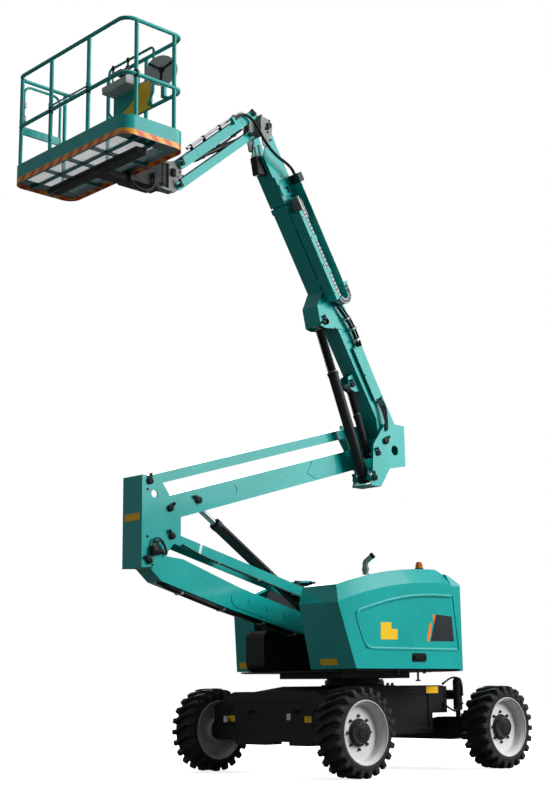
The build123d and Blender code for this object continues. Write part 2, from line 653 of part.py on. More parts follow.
# doubler plates with their plug welds on both sides of the root
weld_spots = (1230, 1490, 1740)
for y0, y1 in ((ty0 - doubler, ty0 + 1), (ty1 - 1, ty1 + doubler)):
    lower += slot_plate(lower_boom, 60, 1905, -10, 92, y0, y1)
    for along in weld_spots:
        y2, y3 = (y0 - 4, y0 + 1) if y0 < tower_y else (y1 - 1, y1 + 4)
        lower += cross_pin(lower_boom.at(along, 10), 34, y2, y3)
ear_in, ear_out = 58 + side_gap, 58 + side_gap + 16
base_along, base_across = tower_cyl_base_at
cyl_ear = [(base_along - 90, 95), (base_along + 120, 95), (base_along + 45, base_across + 30),
           (base_along + 20, base_across + 47), (base_along - 20, base_across + 47),
           (base_along - 45, base_across + 30)]
lower += pair(lower_boom.outline(cyl_ear), ear_in, ear_out, tower_y)
lower += cross_pin(tower_cyl_base, tower_pin_radius, tower_y - ear_out - 6, tower_y + ear_out + 6)
for point in (lower_root, lower_pin):
    lower -= cross_pin(point, tower_bore, ty0 - 20, ty1 + 20)
save("lower_tower_boom", lower)

upper_outline = [(-95, -60), (-60, -115), (reach + 40, -110), (reach + 90, -60), (reach + 90, 60),
                 (reach + 40, 110), (30, 115), (-80, 60)]
upper = prism(upper_boom.outline(upper_outline), ty0, ty1)
upper -= prism(upper_boom.outline([(150, -100), (150, 100), (reach - 120, 100), (reach - 120, -100)]),
               ty0 + tower_wall, ty1 - tower_wall)
# the tower cylinder comes in through the underside, and its pin ends in bosses on the sides
upper -= upper_boom.bar(190, 900, -130, -99, tower_y - 72, tower_y + 72)
upper += pin_ends(tower_cyl_eye, 52, half_width - 36, half_width + 4, tower_y)
upper += pin_ends(tower_cyl_eye, tower_pin_radius, half_width + 3, half_width + 12, tower_y)
for y0, y1 in ((ty0 - doubler, ty0 + 1), (ty1 - 1, ty1 + doubler)):
    upper += prism(upper_boom.outline([(2085, 104), (1980, -20), (2085, -100), (reach - 260, -100),
                                       (reach - 200, 104)]), y0, y1)
# a pressed stadium panel on each side
for y0, y1 in ((ty0 - 1, ty0 + 5), (ty1 - 5, ty1 + 1)):
    upper -= slot_plate(upper_boom, 690, 890, 16, 50, y0, y1)
for point in (upper_pin, upper_end):
    upper -= cross_pin(point, tower_bore, ty0 - 20, ty1 + 20)
save("upper_tower_boom", upper)


def link_channel(member, opening):
    """A folded channel, open on one side, with an eye at each end."""
    depth = tower_link_depth / 2
    shell = prism(member.outline([(-45, -30), (-30, -depth), (reach + 30, -depth), (reach + 45, -30),
                                  (reach + 45, 30), (reach + 30, depth), (-30, depth), (-45, 30)]),
                  ty0, ty1)
    low = -depth - 1 if opening < 0 else -depth + tower_wall
    high = depth - tower_wall if opening < 0 else depth + 1
    shell -= prism(member.outline([(-60, low), (reach + 60, low), (reach + 60, high), (-60, high)]),
                   ty0 + tower_wall, ty1 - tower_wall)
    for point in (member.at(0), member.at(reach)):
        shell += cross_pin(point, tower_pin_radius + 16, ty0 + 1, ty1 - 1)
        shell -= cross_pin(point, tower_bore, ty0 - 1, ty1 + 1)
    return shell


# the tower cylinder passes through a window in the lower link's web
window = lower_link.bar(1000, 2270, 0, tower_link_depth, tower_y - 75, tower_y + 75)
save("lower_tower_link", link_channel(lower_link, -1) - window)
save("upper_tower_link", link_channel(upper_link, -1))

# mid bracket: two side plates, a front plate, stiffeners and the four pins it carries
plate_outline = around(lower_pin, [(-89, -68), (90, -58), (386, 269), (386, 444), (316, 547), (123, 798),
                                   (-89, 810)])
bracket = prism(plate_outline, tower_low_y, tower_low_y + bracket_plate)
bracket += prism(plate_outline, tower_high_y - bracket_plate, tower_high_y)
front_x = lower_pin[0] - 89
bracket += block(front_x, front_x + bracket_plate, tower_low_y, tower_high_y,
                 lower_pin[1] - 68, lower_pin[1] + 810)
for point in (lower_pin, lower_link_pin, upper_pin, upper_link_pin):
    bracket += cross_pin(point, tower_pin_radius, tower_low_y - 10, tower_high_y + 10)
# access hole in each side plate
bracket -= cross_pin(shift(lower_pin, (60, 640)), 38, tower_low_y - 1, tower_low_y + bracket_plate + 1)
save("mid_bracket", bracket)

# upright: a near box that holds the main boom, beside the tower's plates
near_outline = around(upper_end, [(-139, 294), (166, 294), (171, -162), (-89, -212), (-239, -424),
                                  (-404, -424), (-369, -312), (-344, 34)])
tower_outline = around(upper_end, [(-324, 158), (-294, 324), (166, 324), (171, -162), (-89, -172)])
mid_plate = upright_half - 36
far_plate = tower_high_y - upright_plate + 6
upright = prism(near_outline, -upright_half, upright_plate - upright_half)
upright -= cross_pin(upper_end, 56, -upright_half - 1, upright_plate - upright_half + 1)
upright += prism(near_outline, mid_plate, mid_plate + upright_plate)
for y0 in (mid_plate, far_plate):
    upright += prism(tower_outline, y0, y0 + upright_plate)
back_x = upper_end[0] + 151
upright += block(back_x, back_x + 15, -upright_half, far_plate + upright_plate, upper_end[1] - 156,
                 upper_end[1] + 289)
foot_line = around(upper_end, [(-239, -424), (-404, -424), (-402, -410), (-245, -410)])
upright += prism(foot_line, -upright_half, mid_plate + 15)
# pins: point, radius, y0, y1
pin_low, pin_high = -upright_half - 12, mid_plate + upright_plate + 2
for point, radius, y0, y1 in ((boom_pivot, boom_pin_radius, pin_low, pin_high),
                              (lift_base, lift_pin_radius, pin_low, pin_high),
                              (master_base, master_pin_radius, pin_low, pin_high),
                              (upper_end, tower_pin_radius, mid_plate + 4, tower_high_y + 16),
                              (upper_link_end, tower_pin_radius, mid_plate + 4, tower_high_y + 16)):
    upright += cross_pin(point, radius, y0, y1)
save("upright", upright)


# ---------------------------------------------------------------- cylinders
def cylinder_pair(base, eye, barrel_radius, rod_radius, eye_radius, width, y, barrel_share):
    """Barrel and rod of a cylinder between two X-Z pins, for pins of eye_radius."""
    length = hypot(eye[0] - base[0], eye[1] - base[1])
    line = Member(base, degrees(atan2(eye[1] - base[1], abs(eye[0] - base[0]))),
                  1 if eye[0] > base[0] else -1)
    top = length * barrel_share

    def point(along):
        x, z = line.at(along)
        return (x, y, z)

    boss = eye_radius + 20
    barrel = rod(point(boss - 6), point(top), barrel_radius)
    barrel += cross_pin(base, boss, y - width / 2, y + width / 2)
    barrel += rod(point(top - 40), point(top), barrel_radius + 5)
    barrel -= rod(point(barrel_radius + boss), point(top + 1), rod_radius + running_fit)
    barrel -= cross_pin(base, eye_radius + running_fit, y - width, y + width)
    ram = rod(point(top * 0.62), point(length - eye_radius + 8), rod_radius)
    ram += cross_pin(eye, eye_radius + 10, y - width / 2, y + width / 2)
    return barrel, ram, line, length


lift_width, master_width, tower_cyl_width = 110, 80, 116
lift_share, master_share = 0.69, 0.58
lift_barrel, lift_rod, lift_line, lift_length = cylinder_pair(
    lift_base, lift_eye, 58, 32, lift_pin_radius, lift_width, 0, lift_share)
save("lift_cylinder_barrel", lift_barrel)
save("lift_cylinder_rod", lift_rod)
master_barrel, master_rod, master_line, master_length = cylinder_pair(
    master_base, master_eye, 40, 22, master_pin_radius, master_width, 0, master_share)
save("master_cylinder_barrel", master_barrel)
save("master_cylinder_rod", master_rod)
tower_barrel, tower_rod, *_ = cylinder_pair(
    tower_cyl_base, tower_cyl_eye, 56, 30, tower_pin_radius, tower_cyl_width, tower_y, 0.80)
save("tower_cylinder_barrel", tower_barrel)
save("tower_cylinder_rod", tower_rod)


def bellows(line, length, share, y, outer, rod_radius, top_room):
    """Rubber boot round a ram, between the barrel's gland and the eye: stacked cones."""
    start = length * share + seat_gap
    end = length - top_room
    count = int((end - start) / 30)
    pitch = (end - start) / count
    points = [(rod_radius + 5, 0)]
    for i in range(count):
        points += [(outer, (i + 0.5) * pitch), (outer - 13, (i + 1) * pitch)]
    points[-1] = (rod_radius + 5, count * pitch)
    x, z = line.at(start)
    x1, z1 = line.at(end)
    boot = revolve(Plane.XZ * Polygon(*points, align=None), Axis.Z)
    return Plane(origin=(x, y, z), z_dir=(x1 - x, 0, z1 - z)) * boot


save("lift_cylinder_boot", bellows(lift_line, lift_length, lift_share, 0, 54, 32, 52))
save("master_cylinder_boot", bellows(master_line, master_length, master_share, 0, 44, 22, 48))

# ---------------------------------------------------------------- main boom
bw = boom_width / 2
boom_top = boom_under + boom_depth
boom = main.tube(-30, boom_front, boom_under, boom_top, -bw, bw, boom_wall)
# root ears that reach down to the pivot and past the end
root = main.outline([(-120, boom_under + 150), (-90, boom_under - 70), (-20, -60), (60, -30),
                     (260, boom_under + 2), (260, boom_top - 20), (-40, boom_top)])
boom += pair(root, bw - 16, bw)
boom += cross_pin(boom_pivot, boom_pin_radius + 22, -bw, bw)
boom -= cross_pin(boom_pivot, boom_pin_radius + running_fit, -bw - 1, bw + 1)
# collar round the boom that holds the lift cylinder's head, and ears for the master cylinder
collar_in, collar_out = bw - 2, bw + 12
collar_side = [(1800, 60), (1687, -108), (1485, -180), (1435, -131), (1318, 112), (1634, 117)]
boom += pair(main.outline(collar_side), collar_in, collar_out)
nose = [(1800, 60), (1687, -108), (1485, -180), (1483, -166), (1680, -96), (1788, 66)]
boom += prism(main.outline(nose), -collar_out, collar_out)
boom += pin_ends(lift_eye, lift_pin_radius + 14, lift_width / 2 + side_gap, collar_out + 4)
boom += pin_ends(lift_eye, lift_pin_radius, collar_out, collar_out + 10)
master_ear = [(821, boom_under + 2), (821, -50), (760, -75), (690, -80), (640, -40), (601, boom_under + 2)]
boom += pair(main.outline(master_ear), master_width / 2 + side_gap, master_width / 2 + side_gap + 14)
boom += pin_ends(master_eye, master_pin_radius, master_width / 2 + side_gap, master_width / 2 + side_gap + 24)
# front collar that holds the wear pads
boom += main.tube(boom_front - 60, boom_front, boom_under - 8, boom_top + 8, -bw - 8, bw + 8, 8 + boom_wall)
save("main_boom", boom)
cover_side = [(438, 119), (406, 249), (1102, 272), (1076, 126)]
cover = prism(main.outline(cover_side), -bw - 34, -bw - 22)
cover += main.bar(460, 1060, boom_under + 85, boom_top - 60, -bw - 23, -bw - seat_gap)
save("boom_side_cover", cover)

# ---------------------------------------------------------------- fly boom
tray_in = -bw - 19          # the trays' inner edge, beside the boom
inset = boom_wall + fly_gap
fly_low, fly_high = boom_under + inset, boom_top - inset
fw = bw - inset
head_start = boom_front + 12
fly = main.tube(fly_inner_end, head_start + 200, fly_low, fly_high, -fw, fw, fly_wall)
head_low = boom_under - 4
head_high = head_low + fly_head_depth
pivot_along, pivot_across = fly_pivot_at
head_side = [(head_start, head_low), (pivot_along - 280, head_low), (pivot_along - 210, head_low + 60),
             (pivot_along - 100, pivot_across - 85), (pivot_along - 40, pivot_across - 60),
             (pivot_along + 45, pivot_across + 10), (pivot_along + 10, pivot_across + 45),
             (pivot_along - 100, head_high + 10), (pivot_along - 220, head_high), (head_start, head_high)]
head = prism(main.outline(head_side), -bw, bw)
head -= main.bar(head_start - 1, pivot_along - 270, head_low + 8, head_high - 8, 12 - bw, bw - 12)
head -= main.bar(pivot_along - 271, pivot_along + 160, head_low - 20, pivot_across + 90, 12 - bw, bw - 12)
fly += head
end_ring = main.bar(head_start, head_start + 12, head_low + 4, head_high - 4, 4 - bw, bw - 4)
fly += end_ring - main.bar(head_start - 1, head_start + 14, fly_low + 6, fly_high - 6, 6 - fw, fw - 6)
fly += cross_pin(jib_mount_pin, jib_mount_pin_radius, -bw - 22, bw + 22)
# side bracket that carries the moving tray
fly += prism(main.outline([(head_start, 40), (head_start, 200), (3055, 245), (3120, 60)]),
             tray_in + seat_gap, 1 - bw)
save("fly_boom", fly)

# ---------------------------------------------------------------- cable trays and track
tray_out = tray_in - tray_width
low_a, low_b = lower_tray_span
tray = main.bar(low_a, low_b, boom_under, boom_under + tray_plate, tray_out, tray_in)
tray += main.bar(low_a, low_b, boom_under, boom_under + tray_lip, tray_out, tray_out + tray_plate)
for along in (low_a + 210, low_b - 150):
    tray += main.bar(along, along + 60, boom_under, boom_under + tray_plate, tray_in - 1, -bw - seat_gap)
track_y0 = tray_out + tray_plate + 6
track_y1 = track_y0 + track_width
low_track = boom_under + tray_plate + seat_gap
track = main.bar(low_a + 10, low_b - 20, low_track, low_track + track_height, track_y0, track_y1)
save("lower_track_tray", whole(tray, track))
up_a, up_b = upper_tray_span
up_floor = upper_tray_across
tray_start = up_a + 110
tray = main.bar(tray_start, up_b, up_floor, up_floor + tray_plate, tray_out, tray_in)
for y0 in (tray_out, tray_in - tray_plate):
    tray += main.bar(tray_start, up_b, up_floor, up_floor + upper_tray_lip, y0, y0 + tray_plate)
# bracket from the tray down to the fly's side
tray += prism(main.outline([(2900, 62), (3030, 62), (up_b, up_floor + 1), (2860, up_floor + 1)]),
              tray_in - 12, tray_in)
up_track = up_floor + tray_plate + seat_gap
run = main.bar(up_a + 10, up_b - 10, up_track, up_track + track_height, track_y0, track_y1)
loop_high = up_track + track_height
loop_low = low_track + track_height + 5
loop_radius = (loop_high - loop_low) / 2
loop_along = up_a + 10 - seat_gap
loop_centre = main.at(loop_along, (loop_high + loop_low) / 2)
loop = cross_pin(loop_centre, loop_radius, track_y0, track_y1)
loop -= cross_pin(loop_centre, loop_radius - track_height, track_y0 - 1, track_y1 + 1)
loop -= main.bar(loop_along, loop_along + 490, 0, 500, track_y0 - 2, track_y1 + 2)
save("upper_track_tray", whole(tray, run, loop))

# ---------------------------------------------------------------- jib
mount_in, mount_out = bw + 2, bw + 14
casting_side = around(jib_mount_pin, [(-115, 48), (-70, 78), (-40, 78), (50, 34), (49, -45), (-16, -243),
                                      (-76, -250), (-106, -130)])
web_x = jib_mount_pin[0] - 106
web_low, web_high = jib_mount_pin[1] - 140, jib_mount_pin[1] + 100
core = block(web_x, web_x + 20, -mount_out, mount_out, web_low, web_high)
ear_in = jib_eye_half + side_gap
mount_ear = [(web_x - 102, web_high + 10), (web_x - 71, web_high + 25), (web_x + 1, web_high),
             (web_x + 1, web_low)] + around(jib_lower_pin, [(25, -34), (-22, -28), (-34, 12), (-22, 52)])
core += pair(casting_side, mount_in, mount_out)
core += pair(mount_ear, ear_in, jib_ear_half)
core -= cross_pin(jib_mount_pin, jib_mount_pin_radius + running_fit, -300, 300)
pin_reach = jib_upper_width / 2 + 13
for point in (jib_upper_pin, jib_lower_pin):
    core += cross_pin(point, jib_pin_radius, -pin_reach, pin_reach)
save("jib_mount", core)


def jib_channel(member, half_wide, depth, open_side):
    """A jib arm: a channel closed above or below, forked round the mount and bracket."""
    shell = prism(member.outline([(-36, 14 - depth / 2), (-22, -depth / 2), (jib_length + 22, -depth / 2),
                                  (jib_length + 36, 14 - depth / 2), (jib_length + 36, depth / 2 - 14),
                                  (jib_length + 22, depth / 2), (-22, depth / 2), (-36, depth / 2 - 14)]),
                  -half_wide, half_wide)
    low = -depth / 2 - 1 if open_side < 0 else -depth / 2 + jib_wall
    high = depth / 2 - jib_wall if open_side < 0 else depth / 2 + 1
    inside = half_wide - jib_wall
    shell -= member.bar(-40, jib_length + 40, low, high, -inside, inside)
    for along in (-40, jib_length - 80):
        shell -= member.bar(along, along + 120, -depth, depth, -inside, inside)
    for point in (member.at(0), member.at(jib_length)):
        shell -= cross_pin(point, jib_pin_radius + running_fit, -half_wide - 1, half_wide + 1)
    return shell


upper_arm = jib_channel(jib_upper, jib_upper_width / 2, jib_arm_depth, -1)
# gland of the hose that crosses to the fly's tray
upper_arm += jib_upper.bar(331, 364, 30, 106, -118, 1 - jib_upper_width / 2)
save("jib_upper_arm", upper_arm)
save("jib_lower_arm", jib_channel(jib_lower, jib_lower_width / 2, jib_arm_depth - 14, 1))

rotator_low = jib_lower_rear[1] - rotator_drop
rotator_high = rotator_low + rotator_height
rear_ear = around(jib_lower_rear, [(53, 251), (39, 191), (33, -9), (19, -31), (-61, -69), (-121, -34),
                                   (-121, 231), (-21, 271), (34, 271)])
bracket_x = jib_lower_rear[0] - 126
end_bracket = pair(rear_ear, ear_in, jib_ear_half)
end_bracket += cross_pin(jib_lower_rear, jib_pin_radius, -pin_reach, pin_reach)
end_bracket += pin_ends(jib_upper_rear, jib_pin_radius, ear_in, pin_reach)
for z0, z1 in ((rotator_low - 24 - seat_gap, rotator_low - seat_gap),
               (rotator_high + seat_gap, rotator_high + 24 + seat_gap)):
    end_bracket += block(rotator_x, bracket_x + 65, -jib_ear_half, jib_ear_half, z0, z1)
    end_bracket += Pos(rotator_x, 0, (z0 + z1) / 2) * Cylinder(rotator_radius - 7, z1 - z0)
end_bracket += block(bracket_x, bracket_x + 40, -jib_ear_half, jib_ear_half, rotator_low - 24 - seat_gap,
                     rotator_high + 24 + seat_gap)
save("jib_end_bracket", end_bracket)

jib_barrel, jib_rod, *_ = cylinder_pair(
    jib_lower_pin, jib_upper_rear, 27, 15, jib_pin_radius, 2 * jib_eye_half, 0, 0.80)
save("jib_cylinder_barrel", jib_barrel)
save("jib_cylinder_rod", jib_rod)

# ---------------------------------------------------------------- rotator and platform
platform_bottom = jib_lower_rear[1] - platform_drop
floor_z = platform_bottom + floor_rise
rail_top = floor_z + rail_height
mid_rail_z = floor_z + mid_rail_height
px0, px1 = rotator_x - platform_near - platform_depth, rotator_x - platform_near
py0, py1 = platform_middle - platform_length / 2, platform_middle + platform_length / 2

support_top = platform_bottom - seat_gap
beam_x = px0 + 350
support = Pos(rotator_x, 0, (rotator_low + rotator_high) / 2) * Cylinder(rotator_radius, rotator_height)
support += block(rotator_x - 95, rotator_x - 40, -70, 70, rotator_low + 20, rotator_high - 20)
support += block(px0 + 315, rotator_x - 60, -75, 75, support_top - 62, support_top - 2)
support += block(rotator_x - 125, rotator_x - 94, -80, 80, support_top - 62, rotator_high - 30)
# glands of the hose that loops under the rotator
for start, end in (((-3071, -88, 5673), rotator_hose[0]), ((-2790, -127, 5790), rotator_hose[-1])):
    gland_run = Vector(*end) - Vector(*start)
    gland_end = Vector(*end) - gland_run.normalized() * seat_gap
    support += rod(start, (gland_end.X, gland_end.Y, gland_end.Z), rotator_hose_radius + 7)
support += block(-2811, -2771, -127, -95, 5755, 5785)
# cheeks that tie the upright plate to the arm under the floor
cheek = [(px1 - 60, support_top - 60), (px1 - 60, support_top - 2), (px1 + 6, support_top - 2),
         (px1 + 30, support_top + 100), (rotator_x - 96, support_top + 170),
         (rotator_x - 96, support_top - 60)]
support += pair(cheek, 92, 102)
support += block(rotator_x - 160, rotator_x - 96, -102, 102, support_top - 40, support_top - 28)
support += block(beam_x - 55, beam_x + 55, -690, 730, support_top - 62, support_top)
save("platform_support", support)

# floor pan with its toe boards, corners rounded
toe_top = platform_bottom + toe_height


def rounded_rectangle(x0, x1, y0, y1, radius):
    return Pos((x0 + x1) / 2, (y0 + y1) / 2) * RectangleRounded(x1 - x0, y1 - y0, radius)


outer = rounded_rectangle(px0, px1, py0, py1, corner_radius)
inner = rounded_rectangle(px0 + toe_plate, px1 - toe_plate, py0 + toe_plate, py1 - toe_plate,
                          corner_radius - toe_plate)
pan = extrude(Pos(0, 0, platform_bottom) * outer, amount=toe_height)
pan -= extrude(Pos(0, 0, floor_z) * inner, amount=toe_height)
pan -= extrude(Pos(0, 0, platform_bottom - 1) * inner, amount=floor_rise - 3)
# windows that the floor's mesh lies over: four bays along Y, three across
bay_pitch = (platform_length - 2 * corner_radius - 80) / 4
for x0, x1 in ((px0 + 60, px0 + 190), (px0 + 215, px0 + 395), (px0 + 420, px1 - 110)):
    for bay in range(4):
        y0 = py0 + corner_radius + 40 + bay * bay_pitch + 15
        pan -= block(x0, x1, y0, y0 + bay_pitch - 30, floor_z - 10, floor_z + 10)
grid_z = floor_z - 4
for x in (px0 + 202, px0 + 407):
    pan += block(x - 10, x + 10, py0 + toe_plate, py1 - toe_plate, platform_bottom, grid_z)
for bay in (1, 2, 3):
    y = py0 + corner_radius + 40 + bay * bay_pitch
    pan += block(px0 + toe_plate, px1 - toe_plate, y - 10, y + 10, platform_bottom, grid_z)
# the toe board drops at the entrance in the far end
pan -= block(px0 + corner_radius, px1 - corner_radius, py1 - toe_plate - 1, py1 + 1, floor_z, toe_top + 1)
save("platform_floor", pan)

# rails: loop tubes and posts as separate tubes, each a little clear of the next
rail_in = rail_radius + toe_plate + 1
rx0, rx1 = px0 + rail_in, px1 - rail_in
ry0, ry1 = py0 + rail_in, py1 - rail_in


def rail_loop(z):
    """A rail of round tube all the way round, with bent corners."""
    path = (Pos(0, 0, z) * rounded_rectangle(rx0, rx1, ry0, ry1, rail_bend)).wires()[0]
    profile = Plane(origin=path @ 0, z_dir=path % 0) * Circle(rail_radius)
    return sweep(profile, path=path)


corner_post = (rx0 + rail_bend * (1 - cos(radians(45))), ry1 - rail_bend * (1 - sin(radians(45))))
end_post_x = rx1 - rail_bend - 2
mid_loop = rail_loop(mid_rail_z)
# the entrance: no middle rail between the corner post and the end's other post
mid_loop -= block(corner_post[0], end_post_x - rail_radius, ry1 - 60, ry1 + 60,
                  mid_rail_z - 50, mid_rail_z + 50)
mid_loop -= Pos(*corner_post, mid_rail_z) * Cylinder(rail_radius + seat_gap, 100)
save("platform_top_rail", rail_loop(rail_top - rail_radius))
save("platform_mid_rail", mid_loop)
# posts: X, Y
post_low_y, post_high_y = platform_middle - 326, platform_middle + 293
posts = []
for x, y in ((rx0, post_high_y), (rx0, post_low_y), (rx0 + 125, ry0), (end_post_x, ry0),
             (rx1, post_low_y), (rx1, post_high_y), (end_post_x, ry1)):
    for z0, z1 in ((floor_z + seat_gap, mid_rail_z - rail_radius - seat_gap),
                   (mid_rail_z + rail_radius + seat_gap, rail_top - 2 * rail_radius - seat_gap)):
        posts.append(rod((x, y, z0), (x, y, z1), rail_radius))
hung_post = rod((*corner_post, floor_z + seat_gap),
                (*corner_post, rail_top - 2 * rail_radius - seat_gap), rail_radius)
# two collars on the corner post hold the gate's round tube
gate_x0 = rx0 + gate_hinge_offset
gate_tube = 14
for z in (mid_rail_z + 130, rail_top - 280):
    hung_post += rod((*corner_post, z + 12), (gate_x0, ry1, z + 12), 9)
    hung_post += Pos(gate_x0, ry1, z + 12) * Cylinder(gate_tube + 6, 24)
    hung_post -= Pos(gate_x0, ry1, z + 12) * Cylinder(gate_tube + 0.5, 40)
posts.append(hung_post)
save("platform_posts", whole(*posts))

# gate in the far end, hung beside the corner post
gate_x1 = gate_x0 + gate_width
with BuildLine() as gate_line:
    FilletPolyline((gate_x0, ry1, mid_rail_z + 30), (gate_x0, ry1, rail_top - 75),
                   (gate_x1, ry1, rail_top - 75), (gate_x1, ry1, mid_rail_z - 30), radius=90)
gate = sweep(Plane(origin=gate_line.line @ 0, z_dir=gate_line.line % 0) * Circle(gate_tube),
             path=gate_line.line)
gate += block(gate_x0 - 8, gate_x1 + gate_tube, ry1 - 12, ry1 + 12, mid_rail_z - 40, mid_rail_z + 40)
save("gate", gate)

# drop bar across the entrance in the long side
bar_z = mid_rail_z + 45
ring_half = 22
bar = rod((rx0, post_low_y + ring_half, bar_z), (rx0, post_high_y - ring_half, bar_z), 9)
for y in (post_low_y, post_high_y):
    bar += Pos(rx0, y, bar_z) * Cylinder(rail_radius + 5, 2 * ring_half)
    bar -= Pos(rx0, y, bar_z) * Cylinder(rail_radius + 0.5, 3 * ring_half)
save("entry_bar", bar)

# control console on the long side towards the jib: panel, sloping box, sticks and guard hoop
console_x = rx1 - rail_radius - seat_gap
console_y0, console_y1 = platform_middle - 454, platform_middle + 156
console = block(console_x - 14, console_x, console_y0, console_y1, floor_z + 540, floor_z + 860)
box_side = [(console_x - 14, floor_z + 830), (console_x - 170, floor_z + 830),
            (console_x - 176, floor_z + 900),
            (console_x - 40, floor_z + 1000), (console_x, floor_z + 1000), (console_x, floor_z + 830)]
console += prism(box_side, platform_middle - 254, platform_middle + 136)
for y in (platform_middle - 200, platform_middle + 40):
    console += rod((console_x - 110, y, floor_z + 930), (console_x - 118, y, floor_z + 1010), 9)
    console += Pos(console_x - 118, y, floor_z + 1014) * Cylinder(16, 34)
hoop_z = floor_z + 1165
hoop_tube = 13
hoop_x = console_x - 14 - hoop_tube + 4
hoop_y0, hoop_y1 = console_y0 - 40, console_y1 + 67
with BuildLine() as hoop_line:
    FilletPolyline((hoop_x, hoop_y0 + 80, floor_z + 580), (hoop_x, hoop_y0, floor_z + 700),
                   (hoop_x, hoop_y0, hoop_z), (hoop_x, hoop_y1, hoop_z),
                   (hoop_x, hoop_y1, floor_z + 700), (hoop_x, hoop_y1 - 110, floor_z + 580),
                   radius=50)
hoop = Plane(origin=hoop_line.line @ 0, z_dir=hoop_line.line % 0) * Circle(hoop_tube)
save("console", console + sweep(hoop, path=hoop_line.line))

# ---------------------------------------------------------------- free hoses
def hose(name, points, radius):
    """A hose on straight runs joined by tangent arcs, each as large as its runs allow."""
    runs = [(Vector(*b) - Vector(*a)) for a, b in zip(points, points[1:])]
    arcs = []
    for before, after in zip(runs, runs[1:]):
        turn = before.get_angle(after)
        arcs.append(0.45 * min(before.length, after.length) / tan(radians(turn / 2)))
    print(name, "arc radii", [round(a) for a in arcs], "runs", [round(r.length) for r in runs])
    with BuildLine() as line:
        FilletPolyline(*points, radius=arcs)
    path = line.wire()
    tube = sweep(Plane(origin=path @ 0, z_dir=path % 0) * Circle(radius), path=path)
    section = pi * radius ** 2 * path.length
    print(name, "length", round(path.length), "volume ratio", round(tube.volume / section, 3))
    save(name, tube)


hose("rotator_hose", rotator_hose, rotator_hose_radius)
hose("jib_hose", jib_hose, jib_hose_radius)
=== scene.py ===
# %% [markdown]
# # An articulating boom lift
# The machine stands on four wheels. A turntable with two hoods and a counterweight carries a
# tower of two booms, and above it a telescopic boom, a jib and a work platform. The construction
# model is loaded as a fixed frame, in metres, with +Z up and the slew axis at the origin. Each
# later cell gives the frame's parts their finishes, or adds the pieces that make them real.

# %% Load the frame
import bpy
import numpy as np
from mathutils import Matrix, Vector


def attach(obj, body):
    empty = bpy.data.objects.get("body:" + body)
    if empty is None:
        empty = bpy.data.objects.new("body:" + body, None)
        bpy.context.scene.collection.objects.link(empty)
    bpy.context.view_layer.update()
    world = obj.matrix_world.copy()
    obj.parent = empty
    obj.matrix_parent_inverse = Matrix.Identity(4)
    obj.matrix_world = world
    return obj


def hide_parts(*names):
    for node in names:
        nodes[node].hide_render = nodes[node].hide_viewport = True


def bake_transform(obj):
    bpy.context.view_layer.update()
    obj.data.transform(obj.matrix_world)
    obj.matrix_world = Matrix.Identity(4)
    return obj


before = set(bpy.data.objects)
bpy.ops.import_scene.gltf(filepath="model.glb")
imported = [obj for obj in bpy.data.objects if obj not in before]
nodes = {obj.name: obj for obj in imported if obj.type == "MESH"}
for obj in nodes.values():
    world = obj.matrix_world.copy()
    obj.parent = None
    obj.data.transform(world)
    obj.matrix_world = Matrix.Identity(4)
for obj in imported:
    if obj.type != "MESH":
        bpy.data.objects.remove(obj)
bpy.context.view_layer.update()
scene = bpy.context.scene
scene.view_settings.view_transform = "Standard"

# %% [markdown]
# ## Camera
# A lens is a distance from the sensor, so a picture's angle of view fixes it. The camera stands
# low beside the front right wheel and looks up at the platform. Its place is given by a point
# and three turns: yaw about Z, pitch up and a slight roll. The right, up and forward directions
# are worked out from those, and they are the three columns of the camera's matrix.

# %% Camera
camera_at = (-10.613, -10.137, 0.822)
yaw, pitch, roll = np.radians([46.91, 11.94, -0.564])
forward = np.array([np.cos(yaw) * np.cos(pitch), np.sin(yaw) * np.cos(pitch), np.sin(pitch)])
level = np.array([np.sin(yaw), -np.cos(yaw), 0.0])
over = np.cross(level, forward)
right = np.cos(roll) * level + np.sin(roll) * over
up = np.cos(roll) * over - np.sin(roll) * level

lens = bpy.data.cameras.new("camera")
lens.sensor_width = 36.0
lens.lens = 62.535705209656925
lens.shift_x = 0.0019
lens.shift_y = 0.0087
lens.clip_end = 200.0
camera = bpy.data.objects.new("camera", lens)
scene.collection.objects.link(camera)
columns = np.eye(4)
columns[:3, 0], columns[:3, 1], columns[:3, 2], columns[:3, 3] = right, up, -forward, camera_at
camera.matrix_world = Matrix(columns.tolist())
scene.camera = camera
print("lens", round(lens.lens, 2), "mm")

# %% [markdown]
# ## Colours
# A finish's colour is written as it looks on a screen, from 0 to 255. Shaders add and multiply
# light, which needs linear values, so each colour is converted once by the screen's own curve.

# %% Screen colours to linear light
def linear(red, green, blue):
    """Each channel c in 0..1 becomes ((c + 0.055) / 1.055) ** 2.4, or c / 12.92 when dark."""
    c = np.array([red, green, blue]) / 255.0
    value = np.where(c > 0.04045, ((c + 0.055) / 1.055) ** 2.4, c / 12.92)
    return (*value.tolist(), 1.0)


# %% [markdown]
# ## A paint shader
# Sprayed paint on welded steel is not one flat colour. It drifts a little in tone over half a
# metre, its surface ripples like orange peel, dust lies low on the machine, and every folded
# edge is slightly round. One function builds all the sprayed finishes: large noise for the
# drift, fine noise for the ripple and for the roughness, and the Bevel node for the edges.

# %% Paint finishes
def wire(tree, node, inputs):
    """Sets each input to a number or a colour, or joins it to another node's output."""
    for key, value in inputs.items():
        if isinstance(value, bpy.types.NodeSocket):
            tree.links.new(value, node.inputs[key])
        else:
            node.inputs[key].default_value = value
    return node


def add(tree, kind, inputs=None):
    """A new shader node with its inputs set."""
    return wire(tree, tree.nodes.new("ShaderNode" + kind), inputs or {})


